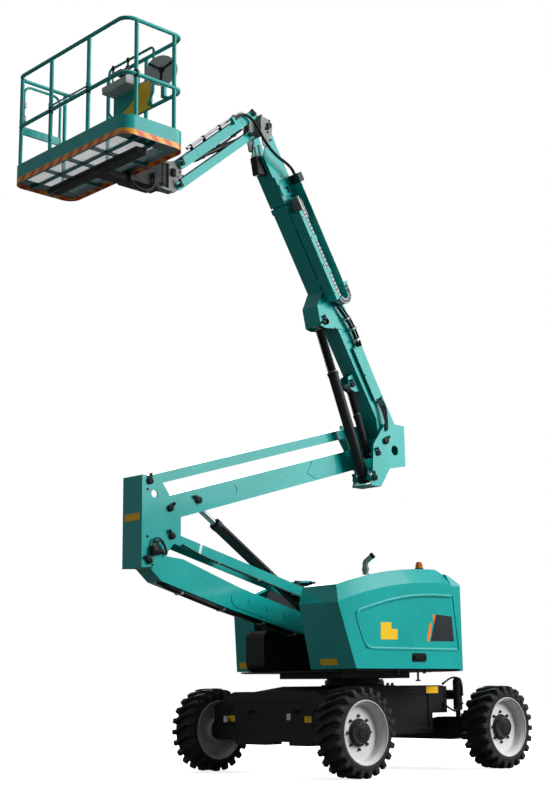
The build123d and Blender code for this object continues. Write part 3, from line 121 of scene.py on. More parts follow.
def noise(tree, coordinates, scale, detail=3.0, roughness=0.5):
    """A noise texture read at the given coordinates."""
    return add(tree, "TexNoise", {"Scale": scale, "Detail": detail, "Roughness": roughness,
                                  "Vector": coordinates}).outputs["Fac"]


def ramp(tree, value, stops):
    """Maps a value to colours: stops are (place, screen colour)."""
    node = add(tree, "ValToRGB", {"Fac": value})
    elements = node.color_ramp.elements
    while len(elements) < len(stops):
        elements.new(0.5)
    for element, (at, colour) in zip(elements, stops):
        element.position, element.color = at, linear(*colour)
    return node.outputs["Color"]


def remap(tree, value, low, high, start=0.3, end=0.7):
    """A value moved from one range to another."""
    return add(tree, "MapRange", {"From Min": start, "From Max": end, "To Min": low, "To Max": high,
                                  "Value": value}).outputs["Result"]


def blank_material(name):
    """A new node material: returns it with its tree, shader and texture coordinates."""
    material = bpy.data.materials.new(name)
    material.use_nodes = True
    tree = material.node_tree
    return material, tree, tree.nodes["Principled BSDF"], add(tree, "TexCoord").outputs["Object"]


def grain(tree, shader, coordinates, scale, strength, edge):
    """Adds fine relief and, where edge isn't 0, rounded edges to a shader's normal."""
    bump = add(tree, "Bump", {"Strength": strength, "Distance": 0.001,
                              "Height": noise(tree, coordinates, scale, 2.0)})
    if edge:
        bevel = add(tree, "Bevel", {"Radius": edge})
        bevel.samples = 4
        wire(tree, bump, {"Normal": bevel.outputs["Normal"]})
    wire(tree, shader, {"Normal": bump.outputs["Normal"]})


def paint(name, colour, drift, rough=0.35, coat=0.0, metallic=0.0, ripple=260.0, relief=0.25,
          edge=0.004, tone_scale=1.6):
    """A sprayed finish whose tone drifts between two screen colours."""
    material, tree, shader, coordinates = blank_material(name)
    tone = noise(tree, coordinates, tone_scale, 4.0)
    wear = noise(tree, coordinates, tone_scale * 9)
    wire(tree, shader, {"Base Color": ramp(tree, tone, [(0.35, colour), (0.68, drift)]),
                        "Roughness": remap(tree, wear, rough * 0.85, rough * 1.2),
                        "Metallic": metallic, "Coat Weight": coat, "Coat Roughness": 0.07})
    grain(tree, shader, coordinates, ripple, relief, edge)
    return material


teal = paint("teal_paint", (14, 158, 152), (20, 168, 162), rough=0.24, coat=0.5, relief=0.12,
             edge=0.0)
black = paint("satin_black_paint", (24, 26, 27), (34, 36, 37), rough=0.42, coat=0.1)
dark = paint("dark_casting", (30, 31, 32), (45, 46, 46), rough=0.6, relief=0.6, ripple=180)
casting = paint("grey_casting", (120, 122, 122), (148, 150, 149), rough=0.55, relief=0.7,
                ripple=150)
rim_grey = paint("rim_grey_paint", (206, 207, 205), (222, 222, 219), rough=0.38, coat=0.2,
                 edge=0.0025)
panel_grey = paint("console_grey_paint", (164, 168, 170), (182, 186, 187), rough=0.45)
cream = paint("cream_plastic", (232, 226, 218), (243, 238, 232), rough=0.5)
yellow = paint("yellow_decal", (238, 186, 22), (246, 200, 36), rough=0.4, edge=0.0)
orange = paint("orange_decal", (232, 120, 18), (240, 134, 28), rough=0.4, edge=0.0)
charcoal = paint("charcoal_decal", (32, 36, 40), (40, 44, 48), rough=0.4, edge=0.0)
white = paint("white_decal", (226, 228, 228), (238, 240, 240), rough=0.4, edge=0.0)
zinc = paint("zinc_plated_steel", (170, 172, 174), (196, 198, 200), rough=0.35, metallic=1.0,
             edge=0.001)
blued = paint("blackened_steel", (30, 31, 33), (48, 49, 51), rough=0.35, metallic=0.6, edge=0.001)
brass = paint("brass_fitting", (176, 138, 70), (200, 160, 88), rough=0.35, metallic=1.0, edge=0.001)
chrome = paint("hard_chrome", (206, 208, 210), (222, 224, 226), rough=0.1, metallic=1.0,
               relief=0.05, edge=0.001)
stainless = paint("stainless_pipe", (176, 176, 174), (205, 204, 200), rough=0.3, metallic=1.0,
                  relief=0.2, edge=0.001)
rubber = paint("moulded_rubber", (22, 22, 23), (34, 34, 35), rough=0.62, relief=0.5, ripple=320,
               edge=0.002)
hose_black = paint("hose_jacket", (16, 16, 17), (26, 26, 27), rough=0.38, relief=0.3, ripple=500,
                   edge=0.0)
print("paints", len(bpy.data.materials))

# %% [markdown]
# ## Tyre rubber, amber and the frame's own parts
# Tyre rubber is matt and slightly grey where it has been handled, and dust stays in its grooves.
# Pointiness would find the grooves, but a mesh of loose triangles has none, so two sizes of
# noise stand for the dust. The beacon's lens is tinted plastic that lets light through.

# %% Tyre rubber and amber
def tyre_rubber():
    """Black rubber with dust on it."""
    material, tree, shader, coordinates = blank_material("tyre_rubber")
    dust = noise(tree, coordinates, 7.0, 6.0, 0.65)
    tone = ramp(tree, dust, [(0.3, (30, 30, 31)), (0.62, (47, 47, 47)), (0.8, (52, 51, 49))])
    wire(tree, shader, {"Base Color": tone, "Roughness": remap(tree, dust, 0.5, 0.8)})
    grain(tree, shader, coordinates, 240.0, 0.6, 0.003)
    return material


def amber_lens():
    """Ribbed amber plastic that lets some light through."""
    material, tree, shader, coordinates = blank_material("amber_lens")
    wave = add(tree, "TexWave", {"Scale": 60.0, "Vector": coordinates})
    wave.bands_direction = "Z"
    bump = add(tree, "Bump", {"Distance": 0.002, "Height": wave.outputs["Fac"]})
    tone = ramp(tree, noise(tree, coordinates, 20.0), [(0.3, (232, 118, 8)), (0.7, (250, 158, 30))])
    wire(tree, shader, {"Normal": bump.outputs["Normal"], "Base Color": tone, "Roughness": 0.12,
                        "Transmission Weight": 0.35})
    return material


tyre_black = tyre_rubber()
amber = amber_lens()

# %% The finish of every part that stays as the frame has it
stays = {
    teal: ["hood_right", "hood_left", "counterweight", "lower_tower_boom", "lower_tower_link",
           "mid_bracket", "upper_tower_boom", "upper_tower_link", "upright", "main_boom",
           "boom_side_cover", "fly_boom", "jib_upper_arm", "jib_lower_arm", "platform_floor",
           "platform_posts", "platform_mid_rail", "platform_top_rail", "gate", "entry_bar",
           "lower_track_tray", "upper_track_tray"],
    black: ["chassis_frame", "drive_axle", "steer_axle", "axle_cylinders", "knuckle_right",
            "knuckle_left", "tie_rod", "steer_cylinder_barrel", "turntable_frame",
            "hydraulic_tank", "lift_cylinder_barrel", "master_cylinder_barrel",
            "tower_cylinder_barrel", "jib_cylinder_barrel"],
    dark: ["engine_block", "platform_support"],
    casting: ["jib_mount", "jib_end_bracket"],
    chrome: ["steer_cylinder_rod", "tower_cylinder_rod", "lift_cylinder_rod",
             "master_cylinder_rod", "jib_cylinder_rod"],
    stainless: ["exhaust_pipe"],
    panel_grey: ["console"],
    amber: ["beacon"],
    tyre_black: ["tyre_drive_right", "tyre_drive_left", "tyre_steer_right", "tyre_steer_left"],
    rim_grey: ["rim_drive_right", "rim_drive_left", "rim_steer_right", "rim_steer_left"],
    rubber: ["lift_cylinder_boot", "master_cylinder_boot"],
    hose_black: ["rotator_hose", "jib_hose"],
}


def give(name, finish):
    """Puts a finish on one of the frame's parts in place of what it had."""
    materials = nodes[name].data.materials
    materials.clear()
    materials.append(finish)


for finish, names in stays.items():
    for name in names:
        give(name, finish)
missing = sorted(set(nodes) - {name for names in stays.values() for name in names})
print("frame parts without a finish:", missing)

# %% [markdown]
# ## Helpers for new pieces
# Every new piece is a surface worked out on a grid: rings of points, one after another, with
# quads between neighbouring rings and a flat face over each open end. A bolt, a hose, a tyre
# and a sheet of mesh are all rings. Whole arrays are computed at once, copies of a shape are
# one product of matrices and points, and the result goes into one mesh.

# %% Rings of points to faces
def rings(points, loop=False, caps=True):
    """Quads between rings[i] and rings[i + 1], each ring closed on itself.

    points has the shape (rings, points in a ring, 3). With loop, the last ring joins the first.
    """
    m, k = points.shape[:2]
    i, j = np.meshgrid(np.arange(m if loop else m - 1), np.arange(k), indexing="ij")
    near, far, side = i * k, ((i + 1) % m) * k, (j + 1) % k
    quads = np.stack([near + j, near + side, far + side, far + j], axis=-1).reshape(-1, 4)
    faces = quads.tolist()
    if caps and not loop:
        faces += [list(range(k))[::-1], list(range((m - 1) * k, m * k))]
    return points.reshape(-1, 3), faces


def lathe(profile, sides=48, loop=False):
    """Turns (radius, height) points about Z: x = r cos t, y = r sin t, z = height."""
    profile = np.array(profile, float)
    t = np.linspace(0, 2 * np.pi, sides, endpoint=False)
    r, h = profile[:, :1], profile[:, 1:]
    return rings(np.stack([r * np.cos(t), r * np.sin(t), h + 0 * t], axis=-1), loop)


def about_axle(profile, sides, loop=False):
    """A lathe turned so that its height runs along Y."""
    points, faces = lathe(profile, sides, loop)
    return points[:, [0, 2, 1]], faces


def rod(radius, low, high, sides=20):
    """A plain round bar between two heights."""
    return lathe([(radius, low), (radius, high)], sides)


def carry(path, section, hint=(0, 0, 1)):
    """A section carried along a path: at each point the section lies across the run there.

    The run is the difference of the neighbours, and the section's second axis is the hint
    with its share along the run taken away.
    """
    path, section = np.array(path, float), np.array(section, float)
    run = np.gradient(path, axis=0)
    run /= np.linalg.norm(run, axis=1, keepdims=True)
    v = np.array(hint, float) - run * (run @ np.array(hint, float))[:, None]
    v /= np.linalg.norm(v, axis=1, keepdims=True)
    u = np.cross(v, run)
    return rings(path[:, None] + section[None, :, :1] * u[:, None] + section[None, :, 1:] * v[:, None])


def circle(radius, sides=14):
    """A round section: (r cos t, r sin t)."""
    t = np.linspace(0, 2 * np.pi, sides, endpoint=False)
    return np.stack([radius * np.cos(t), radius * np.sin(t)], axis=-1)


def plate(outline, low, high, bevel=0.0):
    """A flat outline with thickness: rings at low and high, drawn in by bevel at both faces."""
    outline = np.array(outline, float)
    middle = outline.mean(axis=0)
    reach = np.linalg.norm(outline - middle, axis=1, keepdims=True)
    inner = outline + (middle - outline) / reach * bevel
    if not bevel:
        levels = [(outline, low), (outline, high)]
    else:
        levels = [(inner, low), (outline, low + bevel), (outline, high - bevel), (inner, high)]
    return rings(np.stack([np.column_stack([o, np.full(len(o), z)]) for o, z in levels]))


def brick(x0, x1, y0, y1, z0, z1, bevel=0.0):
    """A box with chamfered edges, as a plate whose outline has eight corners."""
    c = bevel
    outline = [(x0 + c, y0), (x1 - c, y0), (x1, y0 + c), (x1, y1 - c), (x1 - c, y1), (x0 + c, y1),
               (x0, y1 - c), (x0, y0 + c)] if c else [(x0, y0), (x1, y0), (x1, y1), (x0, y1)]
    return plate(outline, z0, z1, bevel)


# %% Placing and repeating shapes
def frame_at(origin, x_axis=(1, 0, 0), y_axis=(0, 1, 0), z_axis=(0, 0, 1)):
    """A 4 by 4 matrix whose columns are three directions and a place."""
    m = np.eye(4)
    m[:3, 0], m[:3, 1], m[:3, 2], m[:3, 3] = x_axis, y_axis, z_axis, origin
    return m


def facing(origin, normal, spin=0.0):
    """A matrix that turns a shape's Z to a normal, and spins it about that."""
    n = np.array(normal, float) / np.linalg.norm(normal)
    side = np.cross((0, 0, 1) if abs(n[2]) < 0.9 else (1, 0, 0), n)
    side /= np.linalg.norm(side)
    other = np.cross(n, side)
    return frame_at(origin, np.cos(spin) * side + np.sin(spin) * other,
                    np.cos(spin) * other - np.sin(spin) * side, n)


def place(part, matrices):
    """Copies of a part: each point is matrix times (x, y, z, 1), for all matrices at once."""
    points, faces = part
    matrices = np.array(matrices, float).reshape(-1, 4, 4)
    homogeneous = np.column_stack([points, np.ones(len(points))])
    moved = np.einsum("nij,pj->npi", matrices, homogeneous)[..., :3]
    copies = [[i + n * len(points) for i in face] for n in range(len(matrices)) for face in faces]
    return moved.reshape(-1, 3), copies


def joined(parts):
    """Several parts as one list of points and one of faces."""
    points, faces, count = [], [], 0
    for p, f in parts:
        points.append(p)
        faces += [[i + count for i in face] for face in f]
        count += len(p)
    return np.concatenate(points), faces


made = []
slot_users = {
    "black_paint": (charcoal, blued, black), "chrome": (zinc, brass, chrome), "rubber": (rubber,),
    "amber_plastic": (amber,), "hose_rubber": (hose_black,), "panel_grey": (panel_grey,),
    "teal_paint": (teal,), "tyre": (tyre_black,), "grey_paint": (rim_grey,),
}
usual_slot = {user.name: slot for slot, users in slot_users.items() for user in users}


def piece(name, parts, material, body, slot="usual", angle=40.0, stands_for=()):
    """Puts parts into one mesh object, gives it its finish and the body that it moves with."""
    points, faces = joined(parts)
    mesh = bpy.data.meshes.new(name)
    mesh.from_pydata(points.tolist(), [], faces)
    mesh.validate()
    obj = bpy.data.objects.new(name, mesh)
    scene.collection.objects.link(obj)
    face_outwards(mesh)
    mesh.shade_smooth()
    mesh.set_sharp_from_angle(angle=np.radians(angle))
    mesh.materials.append(material)
    if body:
        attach(obj, body)
    if slot == "usual":
        slot = usual_slot.get(material.name)
    if stands_for:
        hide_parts(*stands_for)
    made.append((name, len(faces)))
    return obj


def face_outwards(mesh):
    """Recalculates the normals of each closed shell, so that every face points out."""
    import bmesh
    work = bmesh.new()
    work.from_mesh(mesh)
    bmesh.ops.recalc_face_normals(work, faces=work.faces)
    work.to_mesh(mesh)
    work.free()


# %% Bolts, caps and pins
def hex_bolt(radius, height):
    """A washer, a hexagonal head and its shallow domed top, standing on Z = 0."""
    washer = lathe([(radius * 1.25, -0.004), (radius * 1.25, radius * 0.22),
                    (radius * 0.6, radius * 0.22)], 20)
    head = lathe([(radius, 0.0), (radius, height * 0.86), (radius * 0.86, height)], 6)
    return joined([washer, head])


def round_cap(radius, height):
    """A turned cap with a chamfer and a shallow centre hole."""
    return lathe([(radius, -0.004), (radius, height * 0.7), (radius * 0.85, height),
                  (radius * 0.35, height), (radius * 0.3, height * 0.7), (0.0006, height * 0.7)], 28)


# %% [markdown]
# ## The lines that the booms lie on
# The frame's pins are a chain, and each boom lies along a line between two of them. A boom's
# matrix has its own axes as columns: along it, sideways, and across it. Pieces on a boom are
# then written in the boom's own measures, and the matrix puts them in place.

# %% Members
def member(start, angle, heading):
    """Along is (heading cos a, sin a) in X and Z, and across is along turned a quarter."""
    a = np.radians(angle)
    along = np.array([heading * np.cos(a), 0.0, np.sin(a)])
    across = np.array([-heading * np.sin(a), 0.0, heading * np.cos(a)])
    if heading < 0:
        across = np.array([np.sin(a), 0.0, np.cos(a)])
    return frame_at((start[0], 0.0, start[1]), along, (0, 1, 0), across)


lower_boom = member((0.367, 1.247), 14.5, -1)
lower_link = member((0.640, 1.497), 14.5, -1)
upper_boom = member((-2.389, 2.540), 16.1, 1)
main = member((0.442, 3.4905), 57.8, -1)
jib_upper = member((-1.421, 6.8235), -39.9, -1)


def on(line, along, y, across):
    """The place of one point of a member."""
    return (line @ np.array([along, y, across, 1.0]))[:3]


def trail(line, y, points):
    """A member's points at one y, given as (along, across)."""
    return [on(line, a, y, b) for a, b in points]


def heads(part, line, points, y):
    """Copies of a part on a member's right side face, at (along, across) points."""
    return place(part, [facing(at, (0, -1, 0)) for at in trail(line, y, points)])


def block(line, *box):
    """A box in a member's own measures: along, sideways and across."""
    return place(brick(*box), line)


def blocks(line, box, places):
    """Copies of a box, each moved to (along, sideways, across)."""
    return place(brick(*box), [line @ frame_at(at) for at in places])


def bands(line, stations, half, *box):
    """Boxes round a member, each reaching half a width either side of a station along it."""
    return [block(line, a - half, a + half, *box) for a in stations]


def side_bolts(radius, height, y, spots):
    """Bolts on an upright face that looks to the right: spots are (x, z)."""
    return place(hex_bolt(radius, height), [facing((x, y, z), (0, -1, 0)) for x, z in spots])


print("fly's pin", on(main, 3.64, 0, 0.3).round(3))

# %% [markdown]
# ## Tyres
# These are solid tyres for rough ground. Each has two rows of deep lugs that start near the
# middle, run outwards at a slant, and end in a block over the shoulder and down the side. A
# displacement map would need millions of faces for such steep walls. Each lug is instead one
# short run of rings, and the carcass under the lugs is turned like a bowl.

# %% Tyres
lug_count = 22
tyre_radius = 0.42
# a lug's rings: across the tyre, along the rolling direction, half width, top and base radius
lug_rings = np.array([
    (0.006, -0.030, 0.012, 0.415, 0.372), (0.030, -0.016, 0.017, 0.4195, 0.372),
    (0.066, 0.004, 0.019, 0.4195, 0.372), (0.088, 0.018, 0.024, 0.4195, 0.370),
    (0.120, 0.020, 0.026, 0.4175, 0.366), (0.138, 0.020, 0.026, 0.411, 0.360),
    (0.147, 0.020, 0.025, 0.396, 0.352), (0.1495, 0.020, 0.022, 0.372, 0.344),
    (0.1490, 0.020, 0.018, 0.352, 0.342)])


def lug_row(side, offset):
    """Lugs of one side: each ring has six points, wide at the base and narrower on top.

    A point at s along the roll and radius r stands at the angle s / R + the lug's own angle.
    """
    y, s, half, top, base = [lug_rings[:, i, None] for i in range(5)]
    across = np.array([-1.25, -1.0, -0.82, 0.82, 1.0, 1.25])
    lift = np.array([0.0, 0.8, 1.0, 1.0, 0.8, 0.0])
    turn = (s + half * across) / tyre_radius
    radius = base - 0.004 + (top - base + 0.004) * lift
    start = 2 * np.pi * (np.arange(lug_count) + offset) / lug_count
    angle = side * turn[None] + start[:, None, None]
    points = np.stack([radius * np.cos(angle), side * y + 0 * angle, radius * np.sin(angle)], axis=-1)
    return joined([rings(row) for row in points])


def tyre_parts():
    """Carcass: rim seat, bulged side with a rib, shoulder and tread base, closed round the rim."""
    half = [(0.2985, 0.130), (0.302, 0.139), (0.312, 0.1435), (0.324, 0.1455), (0.330, 0.1455),
            (0.333, 0.142), (0.345, 0.142), (0.356, 0.138), (0.366, 0.126), (0.372, 0.100),
            (0.374, 0.050)]
    profile = half + [(0.3745, 0.0)] + [(r, -h) for r, h in half[::-1]]
    return [about_axle(profile, 88, loop=True), lug_row(1, 0.0), lug_row(-1, 0.5)]


axle_x, track_half = 1.07, 1.04
wheels = {"drive_right": (-1, -1), "drive_left": (-1, 1), "steer_right": (1, -1), "steer_left": (1, 1)}


def wheel_matrix(end, side):
    """The wheel's own frame: Y points out of the machine, so a left wheel is turned round."""
    x_axis = (1, 0, 0) if side > 0 else (-1, 0, 0)
    return frame_at((end * axle_x, side * track_half, tyre_radius), x_axis, (0, side, 0), (0, 0, 1))


for name, (end, side) in wheels.items():
    piece(f"tyre_{name}_tread", [place(part, wheel_matrix(end, side)) for part in tyre_parts()],
          tyre_black, f"wheel_{name}", angle=28, stands_for=(f"tyre_{name}",))
print("tyre", made[-1])

# %% [markdown]
# ## Rims and hubs
# A rim is a rolled steel ring with a bright lip at its edge, a deep dish and a flat disc that
# eight bolts hold. The hub's reduction gear stands out of the disc as a black drum with a
# smaller cap. All of it is round, so each is a profile turned about the axle.

# %% Rims and hubs
rim_profile = [(0.118, -0.125), (0.118, 0.026), (0.255, 0.026), (0.262, -0.095), (0.287, -0.142),
               (0.2985, -0.143), (0.2985, -0.120), (0.2915, -0.100), (0.2915, 0.110),
               (0.2985, 0.128), (0.2995, 0.139), (0.2975, 0.1440), (0.2930, 0.1447),
               (0.2895, 0.1420), (0.2880, 0.1330), (0.2835, 0.1290), (0.2790, 0.1280),
               (0.2770, 0.1240), (0.2740, 0.1170), (0.2640, 0.1060), (0.2600, 0.0900),
               (0.2570, 0.0560), (0.2520, 0.0450), (0.2440, 0.0410), (0.1500, 0.0390),
               (0.1180, 0.0400), (0.0600, 0.0400), (0.0600, 0.020), (0.0600, -0.125)]
hub_profile = [(0.1300, 0.0385), (0.1300, 0.0500), (0.1270, 0.0530), (0.1080, 0.0540),
               (0.1050, 0.0570), (0.0990, 0.1000), (0.0960, 0.1060), (0.0900, 0.1090),
               (0.0700, 0.1100), (0.0680, 0.1120), (0.0660, 0.1180), (0.0600, 0.1205),
               (0.0300, 0.1208), (0.0006, 0.1208)]


def on_disc(part, count, radius, height, start=0.0):
    """Copies of a part round the axle, each facing out."""
    t = start + 2 * np.pi * np.arange(count) / count
    return place(part, [frame_at((radius * np.cos(a), height, radius * np.sin(a)),
                                 (np.cos(a), 0, np.sin(a)), (np.sin(a), 0, -np.cos(a)), (0, 1, 0))
                        for a in t])


rim_parts = [about_axle(rim_profile, 72, loop=True),
             carry([(0.23, 0.045, 0), (0.236, 0.06, 0), (0.246, 0.075, 0)], circle(0.005, 8))]
hub_parts = [about_axle(hub_profile, 56), on_disc(hex_bolt(0.013, 0.020), 8, 0.153, 0.0400),
             on_disc(hex_bolt(0.0055, 0.006), 10, 0.083, 0.1092, 0.2),
             on_disc(round_cap(0.010, 0.006), 2, 0.042, 0.1206, 0.7)]
for name, (end, side) in wheels.items():
    at = wheel_matrix(end, side)
    piece(f"rim_{name}_rolled", [place(part, at) for part in rim_parts], rim_grey,
          f"wheel_{name}", angle=24, stands_for=(f"rim_{name}",))
    piece(f"hub_{name}_drum", [place(part, at) for part in hub_parts], black, f"wheel_{name}",
          angle=30)
print("rim", made[-2], "hub", made[-1])

# %% [markdown]
# ## Finding a surface
# Labels, bolts and latches sit on faces that lean and curve. A ray sent at a part from outside
# gives the point where it meets the surface and the direction that the surface faces there, so
# nothing has to be measured by hand.

# %% Rays and stickers
def touch(node, origin, direction):
    """Where a ray meets a part: the point and the way its surface faces."""
    hit, place_, normal, _ = nodes[node].ray_cast(Vector(origin), Vector(direction))
    if not hit:
        raise ValueError(f"no surface of {node} in front of {origin}")
    normal = normal if normal.dot(Vector(direction)) < 0 else -normal
    return np.array(place_), np.array(normal)


def sticker(corners, thickness=0.0012):
    """A thin plate through given corners: rings just under and just over their plane."""
    corners = np.array(corners, float)
    n = np.cross(corners[1] - corners[0], corners[2] - corners[1])
    n /= np.linalg.norm(n)
    return rings(np.stack([corners - n * 0.0006, corners + n * thickness]))


def on_face(node, origin, direction, outline, outward=0.0):
    """A sticker whose corners each slide along a direction until they meet the part."""
    d = np.array(direction, float)
    corners = [touch(node, np.array(origin) + np.array(o), d)[0] - d * outward for o in outline]
    corners = np.array(corners)
    if np.dot(np.cross(corners[1] - corners[0], corners[2] - corners[1]), d) > 0:
        corners = corners[::-1]
    return sticker(corners)


def corners_of(a0, a1, b0, b1):
    """A box's four corners in order."""
    return [(a0, b0), (a1, b0), (a1, b1), (a0, b1)]


def side_label(node, outline):
    """A sticker on a part's right side: outline gives X and Z."""
    return on_face(node, (0, -2.0, 0), (0, 1, 0), [(x, 0, z) for x, z in outline])


def front_label(node, *box):
    """A sticker on the face that looks along -X."""
    return on_face(node, (-4.0, 0, 0), (1, 0, 0), [(0, y, z) for y, z in corners_of(*box)])


# %% [markdown]
# ## Hoods
# The hoods are moulded sheet. A shallow panel is pressed into each side, and its edge is a
# rolled bead that catches the light. A bead is a round section carried along the panel's edge.
# The plates and labels are left blank, as the real ones carry words and signs.

# %% Hood beads, plates, labels and latch
hood_face = -1.100
bead_line = np.array([(0.405, 1.197), (-0.30, 1.197), (-0.93, 1.197), (-0.962, 1.212), (-1.030, 1.360),
                      (-1.096, 1.508), (-1.098, 1.526), (-1.084, 1.545), (-0.849, 1.607),
                      (-0.573, 1.672), (-0.290, 1.716), (0.0, 1.736), (0.340, 1.737)])


def smooth_path(points, count):
    """Points spread evenly along a path, with corners eased by a short running mean."""
    points = np.array(points, float)
    step = np.r_[0, np.cumsum(np.linalg.norm(np.diff(points, axis=0), axis=1))]
    s = np.linspace(0, step[-1], count)
    even = np.column_stack([np.interp(s, step, points[:, c]) for c in range(points.shape[1])])
    padded = np.pad(even, ((2, 2), (0, 0)), mode="edge")
    return (padded[:-4] + padded[1:-3] + padded[2:-2] + padded[3:-1] + padded[4:]) / 5


eased = smooth_path(bead_line, 90)
bead_section = np.array([(-0.020, -0.004), (-0.013, 0.003), (-0.006, 0.0075), (0.006, 0.0075),
                         (0.013, 0.003), (0.020, -0.004)])
for side, body in ((1, "hood_right"), (-1, "hood_left")):
    line = eased if side > 0 else np.column_stack([np.interp(eased[:, 0], [-1.1, 0.41], [-0.54, 0.41]),
                                                   eased[:, 1]])
    path = np.column_stack([line[:, 0], np.full(len(line), side * hood_face), line[:, 1]])
    piece(f"{body}_bead", [carry(path, bead_section, (0, -side, 0))], teal, body)

yellow_steps = [(-0.734, 1.447), (-0.740, 1.283), (-0.499, 1.287), (-0.495, 1.388), (-0.585, 1.386),
                (-0.582, 1.451)]
dark_plate = [(0.087, 1.544), (0.333, 1.532), (0.357, 1.282), (-0.008, 1.277)]
slashes = ([(0.043, 1.547), (0.080, 1.543), (0.068, 1.462), (0.039, 1.466)],
           [(-0.013, 1.460), (0.023, 1.456), (-0.022, 1.276), (-0.066, 1.276)])
piece("hood_right_stepped_label", [side_label("hood_right", yellow_steps)], yellow, "hood_right")
piece("hood_right_dark_plate", [side_label("hood_right", dark_plate)], charcoal, "hood_right", None)
piece("hood_right_slashes", [side_label("hood_right", s) for s in slashes], orange, "hood_right")

front_spots = {"hood_right": (-0.86, -0.62), "hood_left": (0.83, 1.05)}
for body, (y0, y1) in front_spots.items():
    piece(f"{body}_foot_label", [front_label(body, y0, y1, 1.045, 1.105)], yellow, body)

for sign, body in ((-1, "hood_right"), (1, "hood_left")):
    at = frame_at((-0.20, sign * 1.100, 1.117), (-sign, 0, 0), (0, 0, 1), (0, sign, 0))
    dish = place(plate([(-0.105, -0.030), (-0.085, -0.042), (0.085, -0.042), (0.105, -0.030),
                        (0.105, 0.030), (0.085, 0.042), (-0.085, 0.042), (-0.105, 0.030)],
                       -0.002, 0.007, 0.002), at)
    handle = place(brick(-0.085, 0.045, -0.018, 0.016, 0.004, 0.024, 0.005), at)
    lock = place(round_cap(0.014, 0.012), at @ frame_at((0.072, 0, 0.006)))
    piece(f"{body}_latch", [dish, handle, lock], blued, body)
print("hood pieces", len(made))

# %% Under the near hood, the beacon's foot and the exhaust's tip
under = [place(rod(radius, 0.0, 1.012 - z, 10), frame_at((x, -1.04, z)))
         for x, z, radius in ((-0.45, 0.962, 0.016), (-0.157, 0.900, 0.011), (-0.06, 0.962, 0.016))]
under += [place(rod(0.026, 0.0, 0.014, 6), frame_at((-0.157, -1.04, 0.888))),
          brick(-0.50, 0.02, -1.062, -1.018, 0.998, 1.007, 0.002)]
piece("hood_right_stops", under, blued, "hood_right")

beacon_x, beacon_y, roof = 0.030, -0.935, 2.005
ring = place(lathe([(0.046, 0.0), (0.046, 0.005), (0.042, 0.008), (0.034, 0.008)], 36),
             frame_at((beacon_x, beacon_y, roof + 0.002)))
swing = np.linspace(0, 1, 12) * np.pi / 2 * 0.995
dome = [(0.041, 0.0), (0.041, 0.012)] + [(0.039 * np.cos(a) ** 0.6 + 0.0005, 0.016 + 0.062 * np.sin(a))
                                        for a in swing]
lens_part = place(lathe(dome, 40), frame_at((beacon_x, beacon_y, roof)))
piece("beacon_lens", [lens_part], amber, "hood_right", stands_for=("beacon",))
piece("beacon_foot", [ring], rubber, "hood_right")

tip_run = np.array((0.045, -0.075, 0.070))
tip_run = tip_run / np.linalg.norm(tip_run)
mouth = np.array((-0.145, -0.470, 2.180))
cuff = lathe([(0.0305, -0.030), (0.0335, -0.028), (0.0345, -0.002), (0.0315, 0.001), (0.0275, -0.001),
              (0.0275, -0.030)], 40)
piece("exhaust_cuff", [place(cuff, facing(mouth, tip_run))], blued, "turntable")
guard = carry([(-0.190, -0.395, z) for z in np.linspace(2.012, 2.050, 4)], circle(0.036, 30), (0, 1, 0))
piece("exhaust_collar", [guard], zinc, "turntable")

# %% [markdown]
# ## Chassis
# The chassis is black welded plate. What shows on it is small: blank labels by the tie-down
# lugs, the bolts of the slewing ring, caps on the steering cylinder's pins, and the hoses that
# curve down to the two cylinders which hold the steered axle level.

# %% Chassis labels and bolts
piece("drive_axle_labels", [front_label("drive_axle", y - 0.048, y + 0.048, 0.506, 0.566)
                            for y in (0.600, -0.508)], yellow, "chassis")
piece("drive_axle_white_labels", [front_label("drive_axle", y - 0.026, y + 0.026, z - 0.031, z + 0.031)
                                  for y, z in ((0.690, 0.530), (-0.238, 0.558))], white, "chassis")
for name, finish, box in (("chassis_side_label", yellow, (0.610, 0.800, 0.768, 0.838)),
                          ("chassis_near_label", yellow, (-0.915, -0.800, 0.700, 0.765)),
                          ("chassis_near_white", white, (-0.950, -0.918, 0.700, 0.765))):
    piece(name, [side_label("chassis_frame", corners_of(*box))], finish, "chassis")
turns = np.linspace(0, 2 * np.pi, 28, endpoint=False)
ring_bolts = place(hex_bolt(0.011, 0.012),
                   [frame_at((0.322 * np.cos(a), 0.322 * np.sin(a), 0.850)) for a in turns])
front_bolts = place(hex_bolt(0.012, 0.012),
                    [facing(touch("drive_axle", (-4, y, z), (1, 0, 0))[0], (-1, 0, 0))
                     for y in (-0.60, -0.66, 0.60, 0.66) for z in (0.48, 0.62)])
piece("chassis_bolts", [ring_bolts, front_bolts], blued, "chassis")
breather = place(lathe([(0.020, 0.0), (0.020, 0.012), (0.013, 0.014), (0.013, 0.030)], 20),
                 [frame_at((x, -0.40, 0.850)) for x in (0.10, 0.17)])
piece("chassis_fittings", [breather], zinc, "chassis")


# %% Pipes and clamped hoses
def bent(points, count=60):
    """A smooth line through given points: a Catmull-Rom spline, worked out as whole arrays.

    Between two points p1 and p2 it is a cubic in t that leaves p1 along p2 - p0 and reaches p2
    along p3 - p1.
    """
    p = np.array(points, float)
    p = np.vstack([2 * p[0] - p[1], p, 2 * p[-1] - p[-2]])
    s = np.linspace(0, len(p) - 3 - 1e-9, count)
    i = s.astype(int)
    t = (s - i)[:, None]
    a, b, c, d = p[i], p[i + 1], p[i + 2], p[i + 3]
    return 0.5 * (2 * b + (c - a) * t + (2 * a - 5 * b + 4 * c - d) * t ** 2
                  + (3 * b - a - 3 * c + d) * t ** 3)


